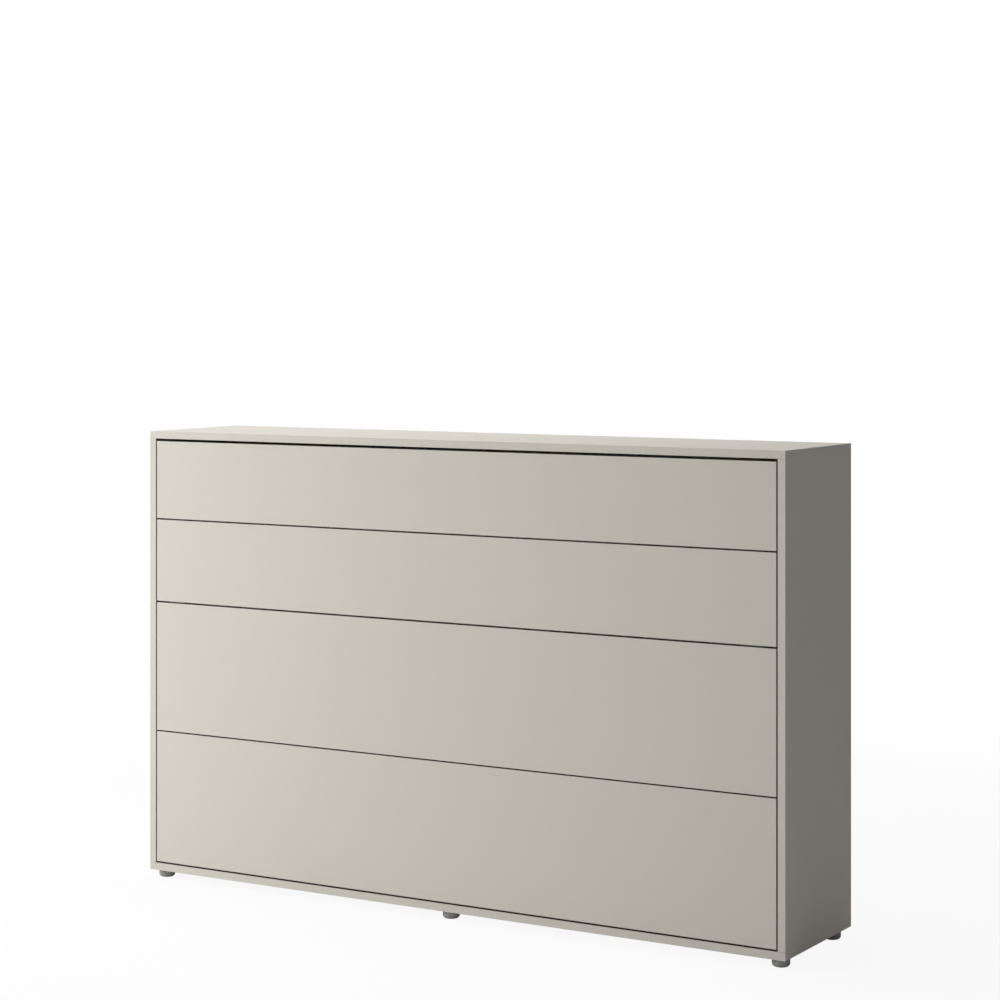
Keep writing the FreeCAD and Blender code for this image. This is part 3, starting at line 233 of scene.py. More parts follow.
class Recipe(Graph):
    """One material, put together from nodes. Its place is a point on the object at rest, in metres."""

    def __init__(self, name):
        self.material = bpy.data.materials.new(name)
        self.material.use_nodes = True
        super().__init__(self.material.node_tree)
        self.place = self.node("ShaderNodeTexCoord", output="Object")

    def axes(self, vector=None):
        """The three parts of a vector, by default of the place."""
        return self.node("ShaderNodeSeparateXYZ", {0: vector or self.place}, (0, 1, 2))

    def attribute(self, name, output="Fac", kind="GEOMETRY"):
        """What is stored under a name with the points of a mesh, or with an object."""
        return self.node("ShaderNodeAttribute", None, output, attribute_name=name, attribute_type=kind)

    def noise(self, scale, detail=2.0, roughness=0.5, stretch=None, distortion=0.0):
        """Noise, where asked for with the place stretched along each axis first."""
        vector = self.vector("MULTIPLY", self.place, stretch) if stretch else self.place
        values = {"Vector": vector, "Scale": scale, "Detail": detail, "Roughness": roughness}
        return self.node("ShaderNodeTexNoise", values | {"Distortion": distortion}, "Fac")

    def mix(self, factor, first, second):
        """A colour between two others."""
        return self.node("ShaderNodeMix", {0: factor, 6: first, 7: second}, 2, data_type="RGBA")

    def tones(self, factor, colour, darker, lighter):
        """A colour that runs from one shade of a colour to another."""
        return self.mix(factor, shade(colour, darker), shade(colour, lighter))

    def shades(self, tone, colour, *layers):
        """A tone with shades of a colour laid over it, each given as its mask and its factor."""
        for mask, factor in layers:
            tone = self.mix(mask, tone, shade(colour, factor))
        return tone

    def bump(self, height, depth, strength):
        """A normal from a height. The depth is in metres."""
        return self.node("ShaderNodeBump", {"Strength": strength, "Distance": depth, "Height": height})

    def finish(self, **values):
        """Closes the recipe with one Principled shader, whose sockets the values name."""
        names = {key: key.replace("_", " ").title().replace("Ior", "IOR") for key in values}
        shader = self.node("ShaderNodeBsdfPrincipled", {names[key]: values[key] for key in values})
        self.node("ShaderNodeOutputMaterial", {"Surface": shader})
        return self.material


def shade(colour, factor):
    """A colour made darker or lighter."""
    return tuple(min(1.0, part * factor) for part in colour)


def board_edge(recipe):
    """How far a point on a board is from the board's nearest edge, in metres."""
    middle = recipe.attribute("board_middle", "Vector", "OBJECT")
    half = recipe.attribute("board_half", "Vector", "OBJECT")
    offset = recipe.vector("ABSOLUTE", recipe.vector("SUBTRACT", recipe.place, middle))
    x, y, z = recipe.axes(recipe.vector("SUBTRACT", half, offset))
    # On a face one part is zero, so the middle one of the three is the way to the edge.
    smallest = x.at_most(y).at_most(z)
    largest = x.at_least(y).at_least(z)
    return x + y + z - smallest - largest


def painted_joint_shade(recipe, reach=0.014):
    """The mask of painted shade in the joints: 1 where another face stands close by, as deep inside a joint,
    and 0 in the open.
    """
    openness = recipe.node("ShaderNodeAmbientOcclusion", {"Distance": reach}, "AO", samples=6)
    return 1 - openness.fade(0.10, 0.62)


# The warm black of the painted shade in the joints and along the front panels' edges.
PAINTED_SHADE_BLACK = (0.030, 0.017, 0.006)


def satin_laminate(settings):
    recipe = Recipe("satin_laminate")
    colour = tuple(settings.laminate)
    band, glue, worn_width, tolerance = settings.edge_band, 0.0002, 0.0012, 0.001
    cloud = recipe.noise(3.1, 2.0)
    speck = recipe.noise(1500.0, 2.0, 0.6)
    edge = board_edge(recipe)
    glue_line = edge.fade(band - glue, band) * (1 - edge.fade(band, band + glue))
    worn = (1 - edge.fade(0.0, worn_width)) * recipe.noise(42.0, 3.0).fade(0.42, 0.68)
    tone = recipe.tones(cloud * 0.55 + speck * 0.45, colour, 0.970, 1.030)
    # The side boards' ends butt against the top and the bottom board, which shows at the front.
    x, y, z = recipe.axes()
    side_low, side_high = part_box("side_panel_right")
    from_end = (z - side_low.z).size().at_most((z - side_high.z).size())
    at_front = 1 - y.above(side_low.y + tolerance)
    butt_line = (1 - from_end.fade(0.0004, 0.0010)) * x.size().above(side_low.x) * at_front
    layers = (worn * 0.35, 1.14), (glue_line * 0.30, 0.55), (butt_line * 0.45, 0.25)
    tone = recipe.shades(tone, colour, *layers)
    # Painted shade: a dark line along the front panels' edges makes the joints between them darker.
    front_low, front_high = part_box("front_panel_bottom")[0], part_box("front_panel_top")[1]
    across = x.size() - front_high.x
    upright = (z - (front_low.z + front_high.z) / 2).size() - (front_high.z - front_low.z) / 2
    in_front = 1 - across.at_least(upright).above(tolerance)
    tone = recipe.mix((1 - edge.fade(0.0002, 0.0005)) * in_front * 0.85, tone, PAINTED_SHADE_BLACK)
    # The narrow joints between the boards get painted shade, a warm black where other faces stand close by.
    tone = recipe.mix(painted_joint_shade(recipe), tone, PAINTED_SHADE_BLACK)
    return recipe.finish(
        base_color=tone,
        roughness=0.56 + cloud * 0.05 + speck * 0.06 - worn * 0.10,
        specular_ior_level=0.3,
        normal=recipe.bump(recipe.noise(620.0, 3.0, 0.55), 0.00002, 0.5),
    )


def inner_laminate(settings):
    recipe = Recipe("inner_laminate")
    cloud = recipe.noise(4.0, 2.0)
    speck = recipe.noise(1200.0, 2.0, 0.6)
    return recipe.finish(
        base_color=recipe.tones(cloud * 0.5 + speck * 0.5, settings.inner, 0.96, 1.03),
        roughness=0.44 + speck * 0.08,
        specular_ior_level=0.4,
        normal=recipe.bump(recipe.noise(700.0, 2.0), 0.00002, 0.5),
    )


def lacquered_hardboard(settings):
    """Pale lacquer on the front of a brown fibre sheet, whose back is raw."""
    recipe = Recipe("lacquered_hardboard")
    fibre = recipe.noise(260.0, 4.0, 0.65, distortion=0.6)
    cloud = recipe.noise(2.2, 3.0)
    lacquer = recipe.tones(cloud * 0.6 + fibre * 0.4, settings.back, 0.94, 1.03)
    brown = recipe.mix(fibre, (0.21, 0.125, 0.065), (0.33, 0.21, 0.12))
    raw_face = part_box("back_sheet_left")[1].y
    raw = recipe.axes()[1].fade(raw_face - 0.00045, raw_face - 0.00015)
    return recipe.finish(
        base_color=recipe.mix(raw, lacquer, brown),
        roughness=0.46 + fibre * 0.10 + raw * 0.3,
        specular_ior_level=0.35,
        normal=recipe.bump(fibre, 0.00004, 0.6),
    )


def slat_wood(settings):
    """Light veneers glued flat on each other, with the grain along the slat."""
    recipe = Recipe("slat_wood")
    colour = tuple(settings.slat)
    veneers = 6
    grain = recipe.noise(1.0, 4.0, 0.62, (150.0, 150.0, 5.0), 1.2)
    pores = recipe.noise(1.0, 2.0, 0.7, (900.0, 900.0, 26.0))
    figure = recipe.noise(1.0, 2.0, 0.5, (9.0, 9.0, 0.9))
    slat_low, slat_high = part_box("slats")
    ply = ((recipe.axes()[1] - slat_low.y) / ((slat_high.y - slat_low.y) / veneers)).fraction()
    glue_line = 1 - (ply - 0.5).size().fade(0.06, 0.16)
    tone = recipe.tones(grain.fade(0.30, 0.72), colour, 0.74, 1.16)
    layers = (pores.fade(0.60, 0.80) * 0.45, 0.48), (figure * 0.30, 0.80), (glue_line * 0.55, 0.34)
    return recipe.finish(
        base_color=recipe.shades(tone, colour, *layers),
        roughness=0.46 + pores * 0.16 + grain * 0.08,
        specular_ior_level=0.38,
        normal=recipe.bump(grain * 0.5 + pores * 0.5, 0.00009, 0.6),
    )


def dowel_wood(settings):
    recipe = Recipe("dowel_wood")
    grain = recipe.noise(1.0, 3.0, 0.6, (420.0, 420.0, 120.0))
    return recipe.finish(
        base_color=recipe.tones(grain, settings.slat, 0.78, 1.12),
        roughness=0.6 + grain * 0.15,
        normal=recipe.bump(grain, 0.0001, 0.5),
    )


def knit(recipe, loop):
    """Rows of small loops, whichever way the cloth faces."""
    turn = 2 * math.pi / loop
    x, y, z = [(axis * turn).sine() for axis in recipe.axes()]
    return (x * y + y * z + z * x) / 3.0


def stitches(along, spacing=0.0045):
    """Dashes of thread along a seam."""
    share = (along / spacing).fraction()
    return share.fade(0.24, 0.40) * (1 - share.fade(0.62, 0.86))


def mattress_cover(settings, middle, quilt, seam_half=0.006):
    """Knitted ticking with a thread line in every quilted seam, painted shade along the seams, and a ribbed
    border.
    """
    recipe = Recipe("mattress_cover")
    ticking = tuple(settings.ticking)
    rib = 0.012
    x, y, z = recipe.axes()
    side = recipe.attribute("border_share").fade(0.35, 0.65)
    loops = knit(recipe, 0.0021)
    fluff = recipe.noise(480.0, 3.0, 0.65)
    cloud = recipe.noise(5.0, 2.0)
    cross = ((x - middle.x) / quilt + 0.5).fraction()
    length = ((z - middle.z) / quilt).fraction()
    from_cross = (0.5 - (cross - 0.5).size()) * quilt
    from_length = (0.5 - (length - 0.5).size()) * quilt
    thread_cross = (1 - from_cross.fade(0.0005, 0.0009)) * stitches(z)
    thread_length = (1 - from_length.fade(0.0005, 0.0009)) * stitches(x)
    thread = thread_cross.at_least(thread_length) * (1 - side)
    # Along the quilted seams the cloth sinks in by bump and is darkened there as painted shade.
    groove_and_shade = (1 - from_cross.at_most(from_length).fade(0.0, seam_half)) * (1 - side)
    ribs = (y * (2 * math.pi / rib)).sine() * side
    tone = recipe.tones(cloud * 0.5 + fluff * 0.5, ticking, 0.95, 1.04)
    tone = recipe.mix(side, tone, recipe.tones(fluff, settings.border, 0.88, 1.10))
    # The seams' darkening is painted shade; the knit and the thread are the cloth's own colour.
    layers = ((loops * 0.5 + 0.5).fade(0.1, 0.6) * 0.22, 0.80), (groove_and_shade * 0.25, 0.72), (thread * 0.8, 1.12)
    height = loops * 0.30 + fluff * 0.25 + ribs * 0.8 + thread * 0.7 - groove_and_shade * 0.4
    return recipe.finish(
        base_color=recipe.shades(tone, ticking, *layers),
        roughness=0.84 + fluff * 0.10,
        sheen_weight=0.25,
        sheen_roughness=0.5,
        specular_ior_level=0.25,
        normal=recipe.bump(height, 0.0007, 0.7),
    )


def piping_cloth(settings):
    recipe = Recipe("piping_cloth")
    loops = knit(recipe, 0.0014)
    return recipe.finish(
        base_color=recipe.tones(loops * 0.5 + 0.5, shade(settings.border, 0.62), 0.78, 1.12),
        roughness=0.82 + loops * 0.05,
        sheen_weight=0.2,
        specular_ior_level=0.25,
        normal=recipe.bump(loops, 0.0003, 0.6),
    )


def woven_strap(settings):
    """Herringbone webbing with thicker selvedges."""
    recipe = Recipe("woven_strap")
    herringbone, twill_pitch, warp_pitch = 0.010, 0.0016, 0.0009
    across = recipe.attribute("strap_across")
    along = recipe.attribute("strap_along")
    fold = ((across / herringbone).fraction() - 0.5).size() * herringbone
    twill = ((along + fold) / twill_pitch).fraction()
    warp = (across / warp_pitch).fraction()
    weave = (twill - 0.5).size() + (warp - 0.5).size() * 0.5
    selvedge = across.size().fade(0.0172, 0.0184)
    tone = recipe.tones(weave.fade(0.1, 0.7), settings.strap, 0.55, 1.75)
    return recipe.finish(
        base_color=recipe.mix(recipe.noise(300.0, 3.0) * 0.3, tone, shade(settings.strap, 2.2)),
        roughness=0.62 + weave * 0.12,
        sheen_weight=0.15,
        specular_ior_level=0.35,
        normal=recipe.bump(weave + selvedge * 0.8, 0.0004, 0.8),
    )


def powder_coat(settings):
    recipe = Recipe("powder_coat")
    peel = recipe.noise(900.0, 3.0, 0.55)
    cloud = recipe.noise(7.0, 2.0)
    return recipe.finish(
        base_color=recipe.tones(cloud * 0.4 + peel * 0.6, settings.coating, 0.82, 1.22),
        roughness=0.40 + peel * 0.14,
        specular_ior_level=0.5,
        normal=recipe.bump(peel, 0.00006, 0.7),
    )


def moulded_plastic(name, colour, roughness):
    recipe = Recipe(name)
    grain = recipe.noise(1600.0, 2.0, 0.6)
    cloud = recipe.noise(16.0, 3.0)
    return recipe.finish(
        base_color=recipe.tones(cloud * 0.6 + grain * 0.4, colour, 0.84, 1.20),
        roughness=roughness + grain * 0.10 + cloud * 0.04,
        specular_ior_level=0.45,
        normal=recipe.bump(grain, 0.00004, 0.6),
    )


def soft_rubber():
    recipe = Recipe("soft_rubber")
    bloom = recipe.noise(90.0, 4.0, 0.6)
    return recipe.finish(
        base_color=recipe.mix(bloom, (0.012, 0.012, 0.012), (0.034, 0.034, 0.035)),
        roughness=0.68 + bloom * 0.2,
        specular_ior_level=0.3,
        normal=recipe.bump(bloom, 0.00008, 0.5),
    )


def polished_rod():
    recipe = Recipe("polished_rod")
    draw = recipe.noise(1.0, 2.0, 0.6, (1600.0, 1600.0, 22.0))
    return recipe.finish(
        base_color=recipe.mix(draw, (0.60, 0.60, 0.61), (0.74, 0.74, 0.75)),
        metallic=1.0,
        roughness=0.10 + draw * 0.12,
        normal=recipe.bump(draw, 0.00001, 0.4),
    )


def black_steel():
    """Steel with a dull black passivated surface."""
    recipe = Recipe("black_steel")
    cloud = recipe.noise(90.0, 3.0, 0.6)
    return recipe.finish(
        base_color=recipe.mix(cloud, (0.010, 0.009, 0.008), (0.020, 0.018, 0.016)),
        roughness=0.52 + cloud * 0.14,
        specular_ior_level=0.3,
        normal=recipe.bump(cloud, 0.00003, 0.5),
    )


def zinc_plate():
    """Bright zinc plating: faintly blue, cloudy, with fine scratches."""
    recipe = Recipe("zinc_plate")
    cloud = recipe.noise(60.0, 4.0, 0.6)
    scratch = recipe.noise(1.0, 3.0, 0.7, (1200.0, 90.0, 240.0))
    return recipe.finish(
        base_color=recipe.mix(cloud, (0.46, 0.47, 0.49), (0.62, 0.62, 0.61)),
        metallic=1.0,
        roughness=0.26 + cloud * 0.14 + scratch * 0.10,
        normal=recipe.bump(scratch, 0.00002, 0.5),
    )


FINISHES = {}
BLACK_HINGES = ("leg_hinge_bed_leaves", "leg_hinge_leg_leaves", "leg_hinge_pins")


def finish_of(node):
    """The finish of a solid: its slot's, but black for the hinges that sit in a joint of the front."""
    return finish_for("black_steel" if node in BLACK_HINGES else SLOT_OF[node])


def finish_for(slot):
    """A finish by its name, made once."""
    if slot in FINISHES:
        return FINISHES[slot]
    scene = bpy.context.scene
    boards, bedding, fittings = scene.board_settings, scene.bedding_settings, scene.fitting_settings
    makers = {
        "laminate": lambda: satin_laminate(boards),
        "inner_board": lambda: inner_laminate(boards),
        "back_sheet": lambda: lacquered_hardboard(boards),
        "slat_wood": lambda: slat_wood(bedding),
        "dowel_wood": lambda: dowel_wood(bedding),
        "webbing": lambda: woven_strap(bedding),
        "powder_coat": lambda: powder_coat(fittings),
        "nylon": lambda: moulded_plastic("moulded_nylon", fittings.nylon, 0.44),
        "foot_plastic": lambda: moulded_plastic("foot_plastic", fittings.foot, 0.34),
        "buffer_rubber": soft_rubber,
        "bright_steel": polished_rod,
        "zinc_steel": zinc_plate,
        "black_steel": black_steel,
    }
    FINISHES[slot] = makers[slot]()
    return FINISHES[slot]


# ---------------------------------------------------------------- pieces

SAME_PLACE = 0.00001


def put(name, data):
    """A new object in the scene."""
    item = bpy.data.objects.new(name, data)
    bpy.context.scene.collection.objects.link(item)
    return item


def add_piece(name, mesh, body, slot, finish=None, replaces=()):
    """Puts a new piece into the scene, on its body and in its slot."""
    item = put(name, mesh)
    mesh.materials.clear()
    mesh.materials.append(finish or finish_for(slot))
    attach(item, body)
    if replaces:
        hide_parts(*replaces)
    return item


def mesh_from(form, name, smooth_angle):
    """Closes a bmesh into a mesh whose edges are smooth up to an angle, in degrees."""
    bmesh.ops.recalc_face_normals(form, faces=form.faces)
    mesh = bpy.data.meshes.new(name)
    form.to_mesh(mesh)
    form.free()
    mesh.shade_smooth()
    mesh.set_sharp_from_angle(angle=math.radians(smooth_angle))
    return mesh


def stand_in(form, node, ending, smooth_angle=34):
    """Closes a form into the detailed piece that replaces a node."""
    name = f"{node}_{ending}"
    mesh = mesh_from(form, name, smooth_angle)
    return add_piece(name, mesh, BODY_OF[node], SLOT_OF[node], replaces=[node])


def modify(item, name, kind, **settings):
    modifier = item.modifiers.new(name, kind)
    for key, value in settings.items():
        setattr(modifier, key, value)


def edge_marks():
    """The node group that marks a solid's sharp edges and gives the long ones a bevel weight."""
    if "edge_marks" in bpy.data.node_groups:
        return bpy.data.node_groups["edge_marks"]
    tree = bpy.data.node_groups.new("edge_marks", "GeometryNodeTree")
    for way in ("INPUT", "OUTPUT"):
        tree.interface.new_socket("Geometry", in_out=way, socket_type="NodeSocketGeometry")
    graph = Graph(tree)
    solid = graph.node("NodeGroupInput")
    sharp = graph.node("GeometryNodeInputMeshEdgeAngle").above(math.radians(40))
    ends = graph.node("GeometryNodeInputMeshEdgeVertices", None, ("Position 1", "Position 2"))
    long = graph.vector("DISTANCE", *ends, output="Value").above(0.007)
    values = {"Geometry": solid, "Selection": sharp, "Shade Smooth": False}
    marked = graph.node("GeometryNodeSetShadeSmooth", values, domain="EDGE")
    values = {"Geometry": marked, "Name": "bevel_weight_edge", "Value": sharp * long}
    weighed = graph.node("GeometryNodeStoreNamedAttribute", values, data_type="FLOAT", domain="EDGE")
    graph.node("NodeGroupOutput", {0: weighed})
    return tree


def dress(node, edge_round):
    """Gives a solid of the frame its finish and softly rounded edges."""
    item = frame["nodes"][node]
    for place in item.material_slots:
        place.link = "OBJECT"
        place.material = finish_of(node)
    low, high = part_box(node)
    item["board_middle"] = list((low + high) / 2)
    item["board_half"] = list((high - low) / 2)
    modify(item, "one_skin", "WELD", merge_threshold=SAME_PLACE)
    modify(item, "flat_faces", "DECIMATE", decimate_type="DISSOLVE", angle_limit=math.radians(0.5))
    # The rims of small holes stay sharp, because rounding them turns over the slivers between two holes.
    modify(item, "edge_marks", "NODES", node_group=edge_marks())
    if edge_round > 0:
        corners = {"width": edge_round, "segments": 2, "limit_method": "WEIGHT", "use_clamp_overlap": False}
        modify(item, "soft_edges", "BEVEL", **corners, face_strength_mode="FSTR_ALL")
    shading = {"mode": "FACE_AREA", "keep_sharp": True, "use_face_influence": edge_round > 0}
    modify(item, "even_shading", "WEIGHTED_NORMAL", **shading)


def dress_all(nodes, edge_round):
    for node in nodes:
        dress(node, edge_round)
    return {"FINISHED"}


def solids_of(node):
    """The separate solids of a node, each as its points."""
    form = bmesh.new()
    form.from_mesh(frame["nodes"][node].data)
    bmesh.ops.remove_doubles(form, verts=form.verts, dist=SAME_PLACE)
    seen = set()
    solids = []
    for start in form.verts:
        if start in seen:
            continue
        seen.add(start)
        found = [start]
        for vertex in found:
            others = [edge.other_vert(vertex) for edge in vertex.link_edges]
            fresh = [other for other in others if other not in seen]
            seen.update(fresh)
            found += fresh
        solids.append(np.array([tuple(vertex.co) for vertex in found]))
    form.free()
    return solids


def on_circle(radius, angle, height):
    return Vector((radius * math.cos(angle), radius * math.sin(angle), height))


def standing(place, way):
    """The placement that sets a form's Z axis at a place, along a direction."""
    return Matrix.Translation(place) @ way.to_track_quat("Z", "Y").to_matrix().to_4x4()


def skin(form, rings, capped=False):
    """Joins rings of points one after the other. A ring of one point is a tip."""
    for first, second in zip(rings, rings[1:]):
        count = max(len(first), len(second))
        for index in range(count):
            following = (index + 1) % count
            near = [first[index % len(first)], first[following % len(first)]]
            far = [second[following % len(second)], second[index % len(second)]]
            corners = list(dict.fromkeys(near + far))
            if len(corners) > 2:
                form.faces.new(corners)
    if capped:
        form.faces.new(rings[0])
        form.faces.new(list(reversed(rings[-1])))


def lathe(form, profile, turn, steps=24):
    """Turns a profile of (radius, height) points about the turn's own Z axis and gives its last ring."""
    rings = []
    for radius, height in profile:
        angles = [2 * math.pi * step / steps for step in range(steps if radius > 0 else 1)]
        rings.append([form.verts.new(turn @ on_circle(radius, angle, height)) for angle in angles])
    skin(form, rings)
    return rings[-1]


def recess(form, rim, outline, height, depth, turn, taper=0.78):
    """Closes a head inside its rim, round a socket with the given outline."""
    inner = [form.verts.new(turn @ Vector((x, y, height))) for x, y in outline]
    floor = [form.verts.new(turn @ Vector((x * taper, y * taper, height - depth))) for x, y in outline]
    flat = turn.inverted()
    loops = [[(flat @ vertex.co).xy.to_3d() for vertex in loop] for loop in (rim, inner)]
    corners = rim + inner
    for triangle in tessellate_polygon(loops):
        form.faces.new([corners[index] for index in triangle])
    skin(form, [inner, floor])
    form.faces.new(floor)


def cross_outline(reach, half):
    """A cross-shaped socket."""
    corners = []
    for quarter in range(4):
        turn = Matrix.Rotation(quarter * math.pi / 2, 2)
        for x, y in ((half, -half), (reach, -half * 0.8), (reach, half * 0.8)):
            corners.append(tuple(turn @ Vector((x, y))))
    return corners


def hexagon_outline(reach):
    """A six-sided socket."""
    return [(reach * math.cos(k * math.pi / 3), reach * math.sin(k * math.pi / 3)) for k in range(6)]


AXES = (Vector((1, 0, 0)), Vector((0, 1, 0)), Vector((0, 0, 1)))


def long_axis(points):
    return int(np.argmax(points.max(0) - points.min(0)))


def headed_fastener(form, points, socket):
    """A screw or bolt in the place of a plain headed rod, head and shank by their measured sizes."""
    axis = long_axis(points)
    low, high = points.min(0), points.max(0)
    middle = (low + high) / 2
    radii = np.hypot(*[points[:, other] - middle[other] for other in range(3) if other != axis])
    ends = [radii[np.abs(points[:, axis] - end) < 1e-6].max() for end in (low[axis], high[axis])]
    shank_radius, head_radius = sorted(ends)
    way = 1 if ends[1] > ends[0] else -1
    start = Vector(middle)
    start[axis] = low[axis] if way > 0 else high[axis]
    turn = standing(start, AXES[axis] * way)
    length = high[axis] - low[axis]
    wide = points[radii > (head_radius + shank_radius) / 2][:, axis]
    head = wide.max() - wide.min()
    seat = length - head
    point = min(shank_radius * 1.6, seat * 0.3)
    profile = [(0.0, 0.0), (shank_radius * 0.25, point * 0.1), (shank_radius, point), (shank_radius, seat)]
    # The rounded head, as shares of its radius and of its height.
    for reach, rise in ((0.93, 0.0), (1.0, 0.12), (1.0, 0.35), (0.93, 0.70), (0.78, 0.92), (0.66, 1.0)):
        profile.append((head_radius * reach, seat + head * rise))
    rim = lathe(form, profile, turn)
    if socket == "hexagon":
        outline = hexagon_outline(head_radius * 0.44)
    else:
        outline = cross_outline(head_radius * 0.5, head_radius * 0.11)
    recess(form, rim, outline, length, head * 0.75, turn)


def plain_rod(form, points, chamfer=0.0004):
    """A rod with chamfered ends in the place of a solid cylinder."""
    axis = long_axis(points)
    low, high = points.min(0), points.max(0)
    start = Vector((low + high) / 2)
    start[axis] = low[axis]
    other = (axis + 1) % 3
    radius = (high[other] - low[other]) / 2
    length = high[axis] - low[axis]
    profile = [(0.0, 0.0), (radius - chamfer, 0.0), (radius, chamfer)]
    profile += [(reach, length - height) for reach, height in reversed(profile)]
    lathe(form, profile, standing(start, AXES[axis]))


def cam_disc(form, points):
    """A cam disc, flush with the board's inner face, with its cross socket in that face."""
    low, high = points.min(0), points.max(0)
    radius = (high[1] - low[1]) / 2
    depth = high[0] - low[0]
    side = 1 if low[0] > 0 else -1
    base = Vector((low + high) / 2)
    base.x = high[0] if side > 0 else low[0]
    turn = standing(base, Vector((-side, 0, 0)))
    sunk = depth - radius * 0.10
    profile = [
        (0.0, 0.0),
        (radius * 0.97, 0.0),
        (radius, radius * 0.05),
        (radius, depth - radius * 0.06),
        (radius * 0.95, depth),
        (radius * 0.80, depth),
        (radius * 0.78, sunk),
        (radius * 0.72, sunk),
    ]
    rim = lathe(form, profile, turn, 36)
    recess(form, rim, cross_outline(radius * 0.46, radius * 0.10), sunk, depth * 0.35, turn)


def build_fasteners(node, socket):
    """One detailed piece for a node of like screws."""
    form = bmesh.new()
    for points in solids_of(node):
        headed_fastener(form, points, socket)
    stand_in(form, node, "detailed")


def build_cam_fittings():
    """The corner fittings: discs in the side boards and bolts from the top and the bottom."""
    form = bmesh.new()
    for points in solids_of("cam_fittings"):
        height = points[:, 2].max() - points[:, 2].min()
        build = cam_disc if height < 0.02 else plain_rod
        build(form, points)
    stand_in(form, "cam_fittings", "detailed")


def thread(form, centre, root, crest, low, high, pitch, steps=20):
    """The closed helical ridge of a screw thread, which runs out at both ends."""
    count = int((high - low - pitch) / pitch * steps)
    foot = root * 0.96
    rows = []
    for index in range(count + 1):
        angle = 2 * math.pi * index / steps
        rise = low + pitch * index / steps
        top = root + (crest - root) * min(1.0, index / steps, (count - index) / steps)
        ridge = ((foot, 0.08), (top, 0.36), (top, 0.58), (foot, 0.86))
        places = [centre + on_circle(radius, angle, rise + pitch * share) for radius, share in ridge]
        rows.append([form.verts.new(place) for place in places])
    skin(form, rows, capped=True)


def build_foot(node, pitch):
    """A levelling foot: a round moulded foot on a threaded stem."""
    points = solids_of(node)[0]
    low, high = points.min(0), points.max(0)
    radius = (high[0] - low[0]) / 2
    spot = Vector(((low[0] + high[0]) / 2, (low[1] + high[1]) / 2, 0.0))
    reach = np.hypot(points[:, 0] - spot.x, points[:, 1] - spot.y)
    widest = points[reach > radius - SAME_PLACE][:, 2]
    rounding, shoulder = widest.min(), widest.max()
    stem = reach[points[:, 2] > shoulder + 10 * SAME_PLACE].max()
    hollow, chamfer, collar, tip = 0.0012, 0.0008, 0.001, 0.0006
    profile = [(0.0, hollow), (radius * 0.42, hollow), (radius * 0.50, 0.0), (radius - rounding, 0.0)]
    for step in range(1, 9):
        angle = step / 8 * math.pi / 2
        profile.append((radius - rounding * (1 - math.sin(angle)), rounding * (1 - math.cos(angle))))
    profile += [
        (radius, shoulder - chamfer),
        (radius - 0.0003, shoulder - 0.0002),
        (radius - chamfer, shoulder),
        (stem * 1.5, shoulder),
        (stem * 1.4, shoulder - collar),
        (stem * 0.86, shoulder - collar),
        (stem * 0.86, high[2] - tip),
        (stem * 0.76, high[2]),
        (0.0, high[2]),
    ]
    form = bmesh.new()
    lathe(form, profile, Matrix.Translation(spot), 48)
    # The thread stops short of the shoulder and of the stem's end.
    thread(form, spot, stem * 0.87, stem * 0.995, shoulder + 0.0002, high[2] - 0.0008, pitch)
    stand_in(form, node, "threaded")


# ---------------------------------------------------------------- mattress and straps

CORNER = 0.045  # radius of the mattress's corners, seen from above
SEAM_DEPTH = 0.014  # how far the seam round each face lies in from that face
STRAP_THICKNESS = 0.0015


def loop_points(half_x, low, high, corner, spacing):
    """Points round a rectangle with rounded corners, each as its place (x, z) and the way outwards."""
    middle = (low + high) / 2
    half_z = (high - low) / 2
    arc_steps = 5
    arcs = []
    for side_x, side_z, first in ((1, -1, -90), (1, 1, 0), (-1, 1, 90), (-1, -1, 180)):
        centre = Vector((side_x * (half_x - corner), middle + side_z * (half_z - corner)))
        angles = [math.radians(first + 90 * step / arc_steps) for step in range(arc_steps + 1)]
        outs = [Vector((math.cos(angle), math.sin(angle))) for angle in angles]
        arcs.append([(centre + corner * out, out) for out in outs])
    points = []
    for arc, following in zip(arcs, arcs[1:] + arcs[:1]):
        start, out = arc[-1]
        run = following[0][0] - start
        count = max(1, round(run.length / spacing))
        points += arc + [(start + run * step / count, out) for step in range(1, count)]
    return points


def smooth_share(value):
    value = np.clip(value, 0.0, 1.0)
    return value * value * (3 - 2 * value)


